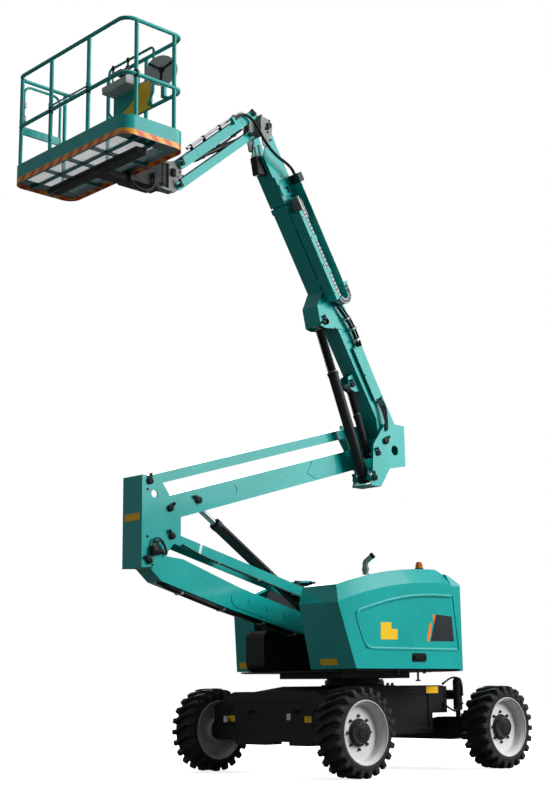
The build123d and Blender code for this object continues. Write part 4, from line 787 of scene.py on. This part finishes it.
def hose(points, radius, hint=(0, 1, 0), count=60, ends=True):
    """A clamped hose: a round tube on a smooth line, with a crimped fitting at each end."""
    path = bent(points, count)
    parts = [carry(path, circle(radius, 12), hint)]
    if ends:
        for at, run in ((path[0], path[1] - path[0]), (path[-1], path[-2] - path[-1])):
            collar = lathe([(radius * 1.05, -0.002), (radius * 1.35, 0.0),
                            (radius * 1.35, radius * 2.2), (radius * 1.2, radius * 2.6),
                            (radius * 1.02, radius * 2.8)], 14)
            parts.append(place(collar, facing(at, run)))
    return joined(parts)


# each route is given for the left side and mirrored to the right
axle_routes = [[(0.86, 0.49, 0.86), (0.93, 0.56, 0.925), (1.015, 0.60, 0.915), (1.035, 0.615, 0.84),
                (1.03, 0.62, 0.74)],
               [(0.99, 0.60, 0.62), (0.93, 0.60, 0.58), (0.90, 0.53, 0.62), (0.88, 0.486, 0.66)]]
piece("axle_hoses", [hose([(x, side * y, z) for x, y, z in route], 0.0095)
                     for route in axle_routes for side in (-1, 1)], hose_black, "chassis")
ports = place(round_cap(0.014, 0.02), [facing((1.025, s * (0.56 + 0.048), z), (0, s, 0))
                                      for s in (-1, 1) for z in (0.66, 0.86)])
piece("axle_cylinder_ports", [ports], zinc, "chassis")
print("chassis pieces", len(made))

# %% [markdown]
# ## Pins, caps and keepers
# A large pin is kept from turning by a small bent plate that one bolt holds. The same cap and
# keeper sits at every main pin, so they are made once and placed by a table of pins.

# %% Pin caps with keepers
def kept_pin(radius):
    """A pin's end cap, the keeper plate over its rim and the keeper's bolt."""
    cap = round_cap(radius, 0.014)
    strap = plate([(-0.010, radius * 0.5), (0.010, radius * 0.5), (0.014, radius * 0.9),
                   (0.014, radius + 0.034), (0.0, radius + 0.042), (-0.014, radius + 0.034),
                   (-0.014, radius * 0.9)], 0.010, 0.017, 0.001)
    bolt = place(hex_bolt(0.009, 0.008), frame_at((0, radius + 0.022, 0.016)))
    foot = brick(-0.012, 0.012, radius + 0.010, radius + 0.034, -0.003, 0.011)
    return joined([cap, strap, bolt, foot])


def pin_frame(x, y, z, outward, spin):
    """A frame for a pin's end: Z out of the machine's side, Y turned by spin degrees from up."""
    a = np.radians(spin)
    return frame_at((x, y, z), (np.cos(a), 0, np.sin(a)), (-np.sin(a), 0, np.cos(a)), (0, outward, 0))


# body: (x, z, radius, right face, left face, keeper's turn)
pins = {
    "mid_bracket": [(-2.639, 2.024, 0.034, 0.090, 0.410, 60), (-2.366, 2.274, 0.034, 0.090, 0.410, 40),
                    (-2.389, 2.540, 0.034, 0.090, 0.410, -40), (-2.638, 2.782, 0.034, 0.090, 0.410, 0)],
    "upright": [(0.442, 3.4905, 0.038, -0.162, 0.132, -40), (0.318, 3.3425, 0.030, -0.162, 0.132, 30),
                (0.245, 3.0655, 0.036, -0.162, 0.132, 20), (0.5940, 3.4015, 0.034, None, 0.416, 0),
                (0.345, 3.6435, 0.034, None, 0.416, 0)],
    "main_boom": [(-0.430, 4.706, 0.036, -0.127, None, 30), (0.030, 4.081, 0.028, -0.068, 0.068, 30)],
    "fly": [(-1.244, 6.7305, 0.031, -0.127, 0.127, 150)],
    "jib_mount": [(-1.441, 6.5875, 0.024, -0.088, 0.088, 100),
                  (-1.421, 6.8235, 0.024, -0.088, 0.088, 60)],
    "jib_end": [(-2.419, 5.770, 0.024, -0.088, 0.088, 30), (-2.399, 6.006, 0.024, -0.088, 0.088, 30)],
}
for body, table in pins.items():
    piece(f"{body}_pin_keepers",
          [place(kept_pin(radius), pin_frame(x, y, z, outward, spin))
           for x, z, radius, low, high, spin in table
           for y, outward in ((low, -1), (high, 1)) if y is not None], blued, body)

eye = on(upper_boom, 0.405, 0, 0.003)
piece("tower_cylinder_pin_cap",
      [place(kept_pin(0.036), pin_frame(eye[0], y, eye[2], outward, 60))
       for y, outward in ((0.128, -1), (0.372, 1))], blued, "upper_boom")

# %% [markdown]
# ## Mid bracket
# A valve block hangs in the bracket's lower corner, with brass fittings and two hoses that run
# down the lower boom. A blank plate is on the bracket's front.

# %% Mid bracket's valve, fittings and plate
piece("mid_bracket_label", [front_label("mid_bracket", 0.135, 0.365, 2.405, 2.475)], yellow,
      "mid_bracket")
valve = [brick(-2.635, -2.545, 0.052, 0.098, 2.075, 2.165, 0.006),
         brick(-2.545, -2.485, 0.060, 0.096, 2.09, 2.14, 0.005)]
valve.append(side_bolts(0.007, 0.007, 0.052, [(x, z) for x in (-2.615, -2.565)
                                              for z in (2.095, 2.145)]))
piece("mid_bracket_valve", valve, blued, "mid_bracket")
stub = lathe([(0.011, 0.0), (0.011, 0.012), (0.008, 0.014), (0.008, 0.034)], 6)
stubs = [facing((x, 0.075, 2.165), (0.25, 0, 1)) for x in (-2.615, -2.575)]
stubs.append(facing((-2.485, 0.078, 2.115), (1, 0, 0.1)))
piece("mid_bracket_fittings", [place(stub, stubs)], brass, "mid_bracket")
piece("mid_bracket_hoses", [hose([(-2.610, 0.075, 2.195), (-2.585, 0.070, 2.235), (-2.52, 0.066, 2.225),
                                  (-2.465, 0.07, 2.16), (-2.44, 0.08, 2.10)], 0.008),
                            hose([(-2.570, 0.075, 2.195), (-2.545, 0.068, 2.215), (-2.50, 0.062, 2.18),
                                  (-2.46, 0.07, 2.13), (-2.45, 0.08, 2.08)], 0.008)],
      hose_black, "mid_bracket")
piece("mid_bracket_bolts", [side_bolts(0.010, 0.010, 0.100, ((-2.66, 2.70), (-2.66, 2.25),
                                                             (-2.60, 1.985)))], blued, "mid_bracket")

# %% Lower boom and link: hose, clamps and strap
link_hose = trail(lower_link, 0.128, ((2.93, -0.035), (2.6, -0.062), (2.2, -0.066), (1.8, -0.066),
                                      (1.4, -0.066), (1.0, -0.066), (0.6, -0.060)))
piece("lower_link_hose", [hose(link_hose, 0.009, count=80)], hose_black, "lower_link")
piece("lower_link_clamps", [blocks(lower_link, (-0.012, 0.012, -0.016, 0.020, -0.012, 0.012, 0.003),
                                   [(a, 0.132, -0.064) for a in (2.45, 1.9, 1.4, 0.9)])],
      zinc, "lower_link")
piece("lower_link_band", [blocks(lower_link, (-0.016, 0.016, -0.0035, 0.002, -0.048, 0.048, 0.001),
                                 [(2.70, 0.140, 0.0)])], white, "lower_link")
carrier = trail(lower_boom, 0.20, ((2.86, -0.128), (2.74, -0.150), (2.50, -0.160), (2.15, -0.168),
                                   (1.7, -0.150), (1.2, -0.138), (0.9, -0.132)))
piece("lower_boom_hoses", [hose([p + np.array((0, dy, 0)) for p in carrier], 0.011, count=70)
                           for dy in (-0.03, 0.0, 0.03)], hose_black, "lower_boom")
piece("lower_boom_clamps", [blocks(lower_boom, (-0.015, 0.015, 0.145, 0.255, -0.030, 0.0, 0.004),
                                   [(2.60, 0, -0.148), (2.05, 0, -0.150), (1.5, 0, -0.130),
                                    (1.05, 0, -0.118)])], zinc, "lower_boom")
print("tower pieces", len(made))

# %% [markdown]
# ## Rubber boots
# A boot is a bellows: its radius follows a wave along the rod, r = root + rise (1 - cos 2 pi n s) / 2,
# with a plain cuff at each end. One end stays on the barrel and the other on the rod.

# %% Boots on the two cylinders
def boot(name, base, eye_, share, gap, root, crest, folds, barrel, rod, node):
    """A bellows on a cylinder, with a band at each end, that stretches from barrel to rod."""
    base, eye_ = np.array((base[0], 0, base[1])), np.array((eye_[0], 0, eye_[1]))
    run = eye_ - base
    size = np.linalg.norm(run)
    run = run / size
    low, high = share * size + 0.001, size - gap - 0.001
    s = np.linspace(0, 1, folds * 8 + 1)
    r = root + (crest - root) * (0.5 - 0.5 * np.cos(2 * np.pi * folds * s)) ** 0.8
    r = np.where((s < 0.035) | (s > 0.965), root + 0.6 * (crest - root), r)
    obj = piece(name, [place(lathe(np.column_stack([r, low + (high - low) * s]), 40),
                             facing(base, run))],
                rubber, None, angle=70, stands_for=(node,))
    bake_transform(obj)
    ends = [place(lathe([(crest * 0.90, 0), (crest * 0.93, 0.002), (crest * 0.93, 0.010),
                         (crest * 0.90, 0.012)], 40),
                  facing(base + run * at, run)) for at in (low + 0.001, high - 0.013)]
    piece(f"{name}_lower_band", [ends[0]], zinc, barrel)
    piece(f"{name}_upper_band", [ends[1]], zinc, rod)


boot("lift_boot", (0.245, 3.0655), (-0.430, 4.706), 0.69, 0.052, 0.040, 0.0538, 26,
     "lift_cylinder_barrel", "lift_cylinder_rod", "lift_cylinder_boot")
boot("master_boot", (0.318, 3.3425), (0.030, 4.081), 0.58, 0.048, 0.031, 0.0438, 16,
     "master_cylinder_barrel", "master_cylinder_rod", "master_cylinder_boot")

tower_base, tower_eye = on(lower_boom, 0.880, 0.25, 0.175), on(upper_boom, 0.405, 0.25, 0.003)
tower_run = (tower_eye - tower_base) / np.linalg.norm(tower_eye - tower_base)
tower_size = np.linalg.norm(tower_eye - tower_base)
gland = lathe([(0.056, -0.030), (0.0605, -0.028), (0.0605, 0.010), (0.054, 0.014), (0.046, 0.014),
               (0.040, 0.020)], 40)
piece("tower_gland", [place(gland, facing(tower_base + tower_run * tower_size * 0.80, tower_run))],
      blued, "tower_cylinder_barrel")
pipe = [tower_base + tower_run * tower_size * share + np.array((0, -0.063, 0))
        for share in (0.10, 0.13, 0.40, 0.74, 0.77)]
pipe[0][1] += 0.012
pipe[-1][1] += 0.012
piece("tower_cylinder_pipe", [hose(pipe, 0.0065, (0, 0, 1), ends=False)], blued,
      "tower_cylinder_barrel")
valve_at = tower_base + tower_run * tower_size * 0.10 + np.array((0, -0.050, 0))
valve_axes = frame_at(valve_at, tower_run, (0, 1, 0), np.cross(tower_run, (0, 1, 0)))
piece("tower_cylinder_valve", [block(valve_axes, -0.035, 0.035, -0.035, 0.035, -0.04, 0.05, 0.006)],
      blued, "tower_cylinder_barrel")

# %% [markdown]
# ## Hose tracks and trays
# The hoses run in a chain of links that lies in a lower tray, bends back over itself at the loop
# and lies again in the upper tray. A link is a plate with a rounded waist: two rows of them are
# stamped along each straight run, and wedges of the same links go round the loop.

# %% Track links
link_pitch, loop_at = 0.046, (1.66, 0.22)


def links(end, y0, z0, z1, bevel):
    """A straight row of track links on the main boom, from the loop to an end."""
    return [block(main, a + 0.003, a + 0.043, y0, -0.139, z0, z1, bevel)
            for a in np.arange(1.665, end, link_pitch)]


def round_loop(radius, angles):
    """Points on a circle about the loop's middle, as (along, across)."""
    return np.column_stack([loop_at[0] + radius * np.cos(angles), loop_at[1] + radius * np.sin(angles)])


piece("lower_track_links", links(2.655, -0.2545, 0.070, 0.1185, 0.005)
      + links(2.70, -0.2535, 0.119, 0.160, 0.006), panel_grey, "main_boom")
piece("upper_track_links", links(3.02, -0.2545, 0.266, 0.3215, 0.005), charcoal, "fly")
wedges = []
half_turn = np.linspace(np.pi / 2, 3 * np.pi / 2, 13)
for a in half_turn[:-1]:
    t = np.linspace(a + 0.03, a + np.pi / 12 - 0.03, 5)
    outline = np.vstack([round_loop(0.1005, t), round_loop(0.046, t[::-1])])
    wedges.append(place(plate(outline, 0.139, 0.2548, 0.001),
                        main @ frame_at((0, 0, 0), (1, 0, 0), (0, 0, 1), (0, -1, 0))))
piece("track_loop_links", wedges, panel_grey, "fly")
piece("track_loop_pins", [heads(lathe([(0.010, -0.004), (0.010, 0.003), (0.004, 0.004)], 14), main,
                                round_loop(0.076, half_turn), -0.2545)], charcoal, "fly")
piece("upper_tray_edge", [block(main, 1.79, 2.963, -0.2660, -0.2625, 0.262, 0.3225, 0.0005)],
      cream, "fly")
piece("lower_track_clips", bands(main, (1.98, 2.36), 0.022, -0.2570, -0.136, 0.098, 0.163, 0.004),
      teal, "main_boom")
piece("track_guide", [block(main, 2.585, 2.80, -0.2520, -0.139, 0.164, 0.176, 0.004),
                      block(main, 2.66, 2.84, -0.2520, -0.139, 0.118, 0.164, 0.006)], zinc, "fly")
piece("lower_tray_bolts", [heads(hex_bolt(0.010, 0.009), main, [(a, 0.078) for a in
                                                               (1.74, 2.06, 2.38, 2.62)], -0.2655)],
      zinc, "main_boom")
piece("tray_head", [block(main, 2.965, 3.060, -0.267, -0.122, 0.252, 0.330, 0.004)], charcoal, "fly")

# %% Boom fixings: fly, collar, cover and hose bundle
piece("fly_bolts", [heads(hex_bolt(0.010, 0.009), main,
                          [(2.86, 0.255), (2.95, 0.215), (2.865, 0.12), (2.86, 0.075)], -0.118)],
      zinc, "fly")
piece("fly_hook", [block(main, 2.905, 2.975, -0.140, -0.124, 0.150, 0.176, 0.004),
                   block(main, 2.960, 2.978, -0.140, -0.112, 0.120, 0.176, 0.004)], blued, "fly")
piece("collar_bolts", [heads(hex_bolt(0.012, 0.011), main,
                             [(1.37, 0.01), (1.37, 0.24), (1.75, 0.24), (1.75, 0.02)], -0.113)],
      blued, "main_boom")
piece("collar_pin_cap", [place(kept_pin(0.036), pin_frame(*on(main, 1.493, -0.127, -0.09), -1, 110))],
      blued, "main_boom")
bundle = []
for k in range(5):
    dy, da = -0.134 - 0.018 * (k % 3), 0.020 * (k // 2)
    bundle.append(hose([on(main, 1.66, -0.15 - 0.01 * (k % 3), 0.13 + da),
                        on(main, 1.55, dy - 0.01, 0.15 + da),
                        on(main, 1.36, dy - 0.012, 0.200 + da), on(main, 1.20, dy - 0.004, 0.215 + da),
                        on(main, 1.06, dy, 0.205 + da)], 0.0115, (0, 1, 0), 50, ends=False))
piece("boom_hoses", bundle, hose_black, "main_boom")
wraps = [blocks(main, (-0.012, 0.012, -0.190, -0.120, 0.186, 0.270, 0.006), [(a, 0, b)])
         for a, b in ((1.14, 0.0), (1.27, 0.0), (1.40, -0.010))]
piece("boom_hose_wraps", [wraps[0], wraps[2]], cream, "main_boom")
piece("boom_hose_wrap_metal", [wraps[1]], zinc, "main_boom")
foot_hoses = [hose([on(main, 0.44, -0.132 - 0.004 * k, 0.150 + 0.022 * k),
                    on(main, 0.33, -0.148 - 0.006 * k, 0.150 + 0.018 * k),
                    on(main, 0.20, -0.160, 0.115 + 0.015 * k),
                    on(main, 0.09, -0.158, 0.06 + 0.013 * k)], 0.0085, count=40, ends=False)
              for k in range(4)]
piece("cover_foot_hoses", foot_hoses, hose_black, "main_boom")
piece("cover_bolts", [heads(hex_bolt(0.008, 0.007), main, [(0.44, 0.15), (0.44, 0.24), (1.07, 0.15),
                                                         (1.07, 0.24), (0.75, 0.135)], -0.139)],
      blued, "main_boom")
print("boom pieces", len(made))

# %% [markdown]
# ## Jib
# A bright tube with clips lies along the upper arm, a dark loom hangs between the arms, and the
# levelling cylinder at the boom's end shows two bright rods.

# %% Jib tube, loom and levelling cylinder
tube_line = trail(jib_upper, -0.040, ((0.10, 0.070), (0.20, 0.088), (0.60, 0.092), (1.08, 0.092)))
piece("jib_tube", [carry(bent(tube_line, 50), circle(0.016, 20), (0, 1, 0))], zinc, "jib_upper")
piece("jib_clips", bands(jib_upper, (0.26, 0.52, 0.80, 1.02), 0.010, -0.062, -0.018, 0.048, 0.112,
                         0.004), blued, "jib_upper")
piece("jib_bands", bands(jib_upper, (0.21, 1.00), 0.011, -0.0768, 0.0768, -0.0518, 0.0525, 0.002),
      teal, "jib_upper")
loom_line = ((0.20, -0.070), (0.42, -0.078), (0.75, -0.080), (1.00, -0.072))
piece("jib_loom", [hose(trail(jib_upper, y, loom_line), 0.009, count=40, ends=False)
                   for y in (-0.018, 0.004, 0.026)], hose_black, "jib_upper")
piece("jib_clasps", bands(jib_upper, (0.35, 0.62, 0.90), 0.009, -0.032, 0.040, -0.092, -0.045, 0.004),
      blued, "jib_upper")
piece("jib_mount_bolts", [side_bolts(0.010, 0.009, -0.119, ((-1.235, 6.79), (-1.215, 6.575),
                                                            (-1.26, 6.65)))], blued, "jib_mount")
level_base, level_eye = np.array((-1.262, -0.01, 6.19)), np.array((-1.330, -0.01, 6.53))
level_run = (level_eye - level_base) / np.linalg.norm(level_eye - level_base)
for name, dy in (("near", -0.030), ("far", 0.030)):
    bar = place(rod(0.0125, 0.19, 0.325), facing(level_base + np.array((0, dy, 0)), level_run))
    piece(f"level_rod_{name}", [bar], chrome, "fly")
piece("level_barrel", [place(plate(corners_of(-0.046, 0.046, -0.075, 0.075), 0.0, 0.20, 0.008),
                             facing(level_base, level_run))], blued, "fly")
piece("jib_end_block", [brick(-2.520, -2.470, -0.078, 0.078, 5.850, 5.930, 0.008)], rubber, "jib_end")
piece("jib_end_bolts", [side_bolts(0.009, 0.008, -0.088, ((-2.44, 5.90), (-2.40, 5.87)))], blued,
      "jib_end")

# %% [markdown]
# ## Platform
# The toe board carries a band of slanted stripes. The floor's windows hold a light expanded
# mesh. The console's hoop and shield are painted, its box is grey and its two levers are black:
# boxes in the part's own axes pick the places for each colour.

# %% Colours by place
def inside(tree, coordinates, box):
    """1 inside a box and 0 outside: the largest of |p - centre| - half is below zero."""
    low, high = np.array(box[:3]), np.array(box[3:])
    value = coordinates
    for operation, amount in (("SUBTRACT", {1: (low + high) / 2}), ("ABSOLUTE", {}),
                              ("SUBTRACT", {1: (high - low) / 2})):
        step = add(tree, "VectorMath", {0: value, **amount})
        step.operation = operation
        value = step.outputs[0]
    x, y, z = add(tree, "SeparateXYZ", {0: value}).outputs
    return calculate(tree, "LESS_THAN", calculate(tree, "MAXIMUM", calculate(tree, "MAXIMUM", x, y), z))


def calculate(tree, operation, first, second=0.0):
    """One math node on two values, each a socket or a number."""
    step = add(tree, "Math", {0: first, 1: second})
    step.operation = operation
    return step.outputs[0]


def slanted(tree, coordinates, pitch):
    """1 and 0 by turns along x + y + z; the shift by 40 m keeps the sum above zero."""
    x, y, z = add(tree, "SeparateXYZ", {0: coordinates}).outputs
    across = calculate(tree, "ADD", calculate(tree, "ADD", x, y), z)
    turns = calculate(tree, "MULTIPLY", calculate(tree, "ADD", across, 40.0), 1 / pitch)
    return calculate(tree, "LESS_THAN", calculate(tree, "FRACT", turns), 0.5)


def recolour(node, base, name, patches):
    """Gives a part a copy of a finish with patches over it: (box, colour) or (box, colour, pitch)."""
    material = base.copy()
    material.name = name
    tree = material.node_tree
    shader = next(n for n in tree.nodes if n.type == "BSDF_PRINCIPLED")
    where = add(tree, "TexCoord").outputs["Object"]
    for box, colour, *stripes in patches:
        mask = inside(tree, where, box)
        for pitch in stripes:
            mask = calculate(tree, "MULTIPLY", mask, slanted(tree, where, pitch))
        mix = add(tree, "Mix")
        mix.data_type = "RGBA"
        wire(tree, mix, {"A": shader.inputs["Base Color"].links[0].from_socket,
                         "B": linear(*colour), "Factor": mask})
        wire(tree, shader, {"Base Color": mix.outputs["Result"]})
    give(node, material)


band = (-3.745, -0.896, 5.7225, -2.995, 0.964, 5.775)
recolour("platform_floor", teal, "toe_board", [
    (band, (243, 174, 64)), (band, (226, 92, 60), 0.16),
    ((-3.694, -0.845, 5.70, -3.046, 0.913, 5.80), (24, 96, 92))])
teal_tone = (20, 150, 144)
recolour("console", panel_grey, "console_finish", [
    ((-3.30, -0.60, 6.90, -2.9, 0.40, 7.0), teal_tone),
    ((-3.066, -0.60, 6.2, -2.9, 0.40, 6.7), teal_tone),
    ((-3.30, -0.60, 6.2, -2.9, -0.226, 7.0), teal_tone),
    ((-3.30, 0.176, 6.2, -2.9, 0.40, 7.0), teal_tone),
    ((-3.25, -0.215, 6.753, -3.10, 0.165, 6.898), (18, 19, 20))])

# %% Floor mesh, console fittings and rails
wires = []
for x0, x1 in ((-3.675, -3.545), (-3.520, -3.340), (-3.315, -3.115)):
    for k in range(4):
        y0 = -0.886 + 0.17 + 0.375 * k + 0.015
        wires += [brick(x0 - 0.004, x1 + 0.004, y - 0.0016, y + 0.0016, 5.741, 5.745)
                  for y in np.arange(y0 + 0.012, y0 + 0.345, 0.024)]
        wires += [brick(x - 0.0016, x + 0.0016, y0 - 0.004, y0 + 0.349, 5.744, 5.748)
                  for x in np.arange(x0 + 0.012, x1, 0.024)]
piece("floor_mesh", wires, zinc, "platform")
wave = [(0.185, 6.300), (0.185, 6.350), (0.060, 6.385), (-0.060, 6.420), (-0.150, 6.480),
        (-0.215, 6.560), (-0.225, 6.600), (-0.405, 6.600), (-0.405, 6.300)]
piece("console_labels", [place(plate(wave, 3.0633, 3.0662),
                               frame_at((0, 0, 0), (0, 1, 0), (0, 0, 1), (-1, 0, 0)))],
      yellow, "platform")
knob = lathe([(0.016, 0.0), (0.026, 0.004), (0.022, 0.014), (0.018, 0.020), (0.021, 0.026),
              (0.012, 0.040), (0.010, 0.075), (0.017, 0.085), (0.018, 0.110), (0.012, 0.124),
              (0.0006, 0.127)], 24)
piece("console_levers", [place(knob, frame_at((-3.160, y, 6.748))) for y in (-0.166, 0.074)],
      hose_black, "platform", "rubber")
dots = place(lathe([(0.009, -0.002), (0.009, 0.008), (0.007, 0.011), (0.0006, 0.011)], 16),
             [frame_at((x, y, 6.750)) for x in (-3.20, -3.105) for y in (-0.10, -0.05, 0.0)])
piece("console_buttons", [dots], orange, "platform")
piece("console_plate", [brick(-3.218, -3.092, -0.128, 0.032, 6.7495, 6.7535, 0.0005)], charcoal,
      "platform", None)
rail_clamps = ((-3.710, -0.292, 6.326), (-3.710, 0.327, 6.326), (-3.585, -0.861, 6.326))
piece("rail_clamps", [place(rod(0.0235, -0.035, 0.035), [frame_at(at) for at in rail_clamps])],
      blued, "platform")
piece("gate_sleeves", [place(rod(0.0265, -0.028, 0.028), [frame_at((-3.636, 0.929, z))
                                                         for z in (6.456, 6.603)])], zinc, "platform")
piece("platform_plate", [brick(-3.7345, -3.7338, -0.030, 0.130, 5.800, 5.870)], yellow, "platform")
disc_at = facing((-3.090, -0.615, 6.600), (-0.80, -0.60, 0.0))
piece("rail_disc", [place(lathe([(0.155, 0.0), (0.155, 0.010), (0.150, 0.016), (0.020, 0.020),
                                 (0.0006, 0.020)], 48), disc_at)],
      panel_grey, "platform")
spokes = [place(brick(0.0, 0.150, -0.011, 0.011, 0.015, 0.026, 0.003),
                disc_at @ frame_at((0, 0, 0), (np.cos(a), np.sin(a), 0), (-np.sin(a), np.cos(a), 0)))
          for a in np.radians((35, 150, 265))]
hub_cap = place(lathe([(0.030, 0.012), (0.030, 0.030), (0.0006, 0.034)], 24), disc_at)
stand = brick(-3.085, -3.050, -0.640, -0.585, 6.345, 6.520, 0.004)
piece("rail_disc_arms", spokes + [hub_cap], blued, "platform")
piece("rail_disc_stand", [stand, brick(-3.085, -3.018, -0.640, -0.585, 6.335, 6.350, 0.002)], teal,
      "platform")
piece("rotator_rings", [place(rod(0.0655, z, z + 0.010, 40), frame_at((-2.620, 0, 0)))
                        for z in (5.735, 5.83, 5.940)], blued, "platform")
print("platform pieces", len(made))

# %% [markdown]
# ## Free hoses
# Two hoses hang free. Each is a smooth line of its own through set points, as thick as its real hose.

# %% Rotator hose and jib hose
hose_points = {
    "rotator_hose": ("platform", 0.030, [
        (-3.042, -0.096, 5.640), (-3.012, -0.104, 5.606), (-2.962, -0.112, 5.584),
        (-2.900, -0.118, 5.580), (-2.842, -0.123, 5.598), (-2.802, -0.126, 5.644),
        (-2.790, -0.127, 5.700), (-2.790, -0.127, 5.750)]),
    "jib_hose": ("jib_mount", 0.032, [
        (-1.729, -0.100, 6.677), (-1.670, -0.100, 6.726), (-1.590, -0.101, 6.768),
        (-1.502, -0.106, 6.758), (-1.434, -0.120, 6.696), (-1.388, -0.140, 6.608),
        (-1.340, -0.160, 6.516), (-1.268, -0.178, 6.430), (-1.176, -0.192, 6.366),
        (-1.088, -0.197, 6.338), (-1.016, -0.198, 6.306), (-0.9646, -0.197, 6.2684),
        (-0.9353, -0.197, 6.2222)]),
}
for name, (body, diameter, route) in hose_points.items():
    curve = bpy.data.curves.new(f"{name}_route", "CURVE")
    curve.dimensions = "3D"
    curve.resolution_u = 16
    spline = curve.splines.new("NURBS")
    spline.points.add(len(route) - 1)
    spline.points.foreach_set("co", np.column_stack([np.array(route), np.ones(len(route))]).ravel())
    spline.order_u = 3
    spline.use_endpoint_u = True
    line = bpy.data.objects.new(f"{name}_route", curve)
    scene.collection.objects.link(line)
    bpy.context.view_layer.update()
    read = bpy.data.meshes.new_from_object(line.evaluated_get(bpy.context.evaluated_depsgraph_get()))
    path = np.empty(len(read.vertices) * 3)
    read.vertices.foreach_get("co", path)
    path = path.reshape(-1, 3)
    bpy.data.objects.remove(line)
    bpy.data.meshes.remove(read)
    tube = piece(f"{name}_line", [carry(path, circle(diameter / 2, 20), (0, 1, 0))], hose_black,
                 body if name == "rotator_hose" else None, stands_for=(name,))
    if name == "jib_hose":
        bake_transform(tube)

# %% [markdown]
# ## Floor, light and background
# The floor and the background are pale and plain. The light is that of a bright overcast day
# with open sky to the machine's right: one broad soft lamp there that also shows as a sheen,
# one that only lights, weaker ones above, beside and behind, and an even world that fills the
# shadows. The lamps don't show in the picture, only their light does.

# %% Floor
def by_ray(tree, other, seen, output):
    """Camera rays meet one shader, and every other ray meets the other."""
    rays = add(tree, "LightPath")
    mix = add(tree, "MixShader", {0: rays.outputs["Is Camera Ray"], 1: other, 2: seen})
    wire(tree, tree.nodes[output], {"Surface": mix.outputs["Shader"]})


def floor_material():
    """Pale to the camera, with the machine's shadow on it; darker to every other ray.

    A real studio floor of this size would throw so much light up that no face under the
    machine stayed dark, so the light that it gives back is cut down.
    """
    material, tree, shader, coordinates = blank_material("pale_floor")
    tone = ramp(tree, noise(tree, coordinates, 0.6), [(0.3, (92, 92, 92)), (0.7, (98, 98, 98))])
    wire(tree, shader, {"Base Color": tone, "Roughness": 0.95})
    seen = add(tree, "BsdfDiffuse", {"Color": linear(250, 250, 250)})
    reach = add(tree, "VectorMath", {0: coordinates})
    reach.operation = "LENGTH"
    strength = remap(tree, reach.outputs["Value"], 0.8, 0.96, 4.0, 12.0)
    glow = add(tree, "Emission", {"Strength": strength})
    both = add(tree, "AddShader", {0: seen.outputs["BSDF"], 1: glow.outputs["Emission"]})
    by_ray(tree, shader.outputs["BSDF"], both.outputs["Shader"], "Material Output")
    return material


u, v = np.meshgrid(np.linspace(-60, 60, 25), np.linspace(-60, 60, 25), indexing="ij")
floor_points = np.stack([u, v, 0 * u - 0.001], axis=-1).reshape(-1, 3)
i, j = np.meshgrid(np.arange(24), np.arange(24), indexing="ij")
corner = (i * 25 + j).reshape(-1, 1)
floor_mesh = bpy.data.meshes.new("floor")
floor_mesh.from_pydata(floor_points.tolist(), [], (corner + np.array([[0, 25, 26, 1]])).tolist())
floor_mesh.materials.append(floor_material())
floor = bpy.data.objects.new("floor", floor_mesh)
scene.collection.objects.link(floor)

# %% World and lamps
world = bpy.data.worlds.new("even_daylight")
world.use_nodes = True
scene.world = world
tree = world.node_tree
sky = wire(tree, tree.nodes["Background"], {"Color": (0.93, 0.96, 1.0, 1.0), "Strength": 0.16})
backdrop = add(tree, "Background", {"Color": (1.0, 1.0, 1.0, 1.0), "Strength": 1.0})
by_ray(tree, sky.outputs["Background"], backdrop.outputs["Background"], "World Output")


def softbox(name, at, target, width, height, power, sheen=True):
    """A rectangular lamp that faces a target: only its light shows, and with sheen its reflection."""
    lamp = bpy.data.lights.new(name, "AREA")
    lamp.shape, lamp.size, lamp.size_y, lamp.energy = "RECTANGLE", width, height, power
    obj = bpy.data.objects.new(name, lamp)
    scene.collection.objects.link(obj)
    away = Vector(at) - Vector(target)
    obj.location = at
    obj.rotation_mode = "QUATERNION"
    obj.rotation_quaternion = away.to_track_quat("Z", "Y")
    obj.visible_camera = False
    obj.visible_glossy = sheen


softbox("open_sky", (11.6, -12.4, 14.4), (0.0, 0.0, 14.4), 17.0, 18.6, 2000)
softbox("daylight", (8.6, -12.6, 8.0), (0.0, 0.0, 3.4), 7.0, 7.0, 2700, sheen=False)
softbox("side_fill", (-11.0, -1.5, 4.0), (0.0, 0.0, 2.6), 6.0, 4.0, 60, sheen=False)
softbox("overhead", (-1.0, -1.0, 16.0), (-1.0, 0.0, 2.0), 9.0, 9.0, 420)
softbox("far_side", (9.0, 14.0, 9.0), (0.0, 0.0, 3.0), 12.0, 9.0, 1300)

# %% [markdown]
# ## The end
# The last line prints how many pieces were made and how many faces they have.

# %% Pieces and faces
print("pieces", len(made), "faces", sum(count for _, count in made))
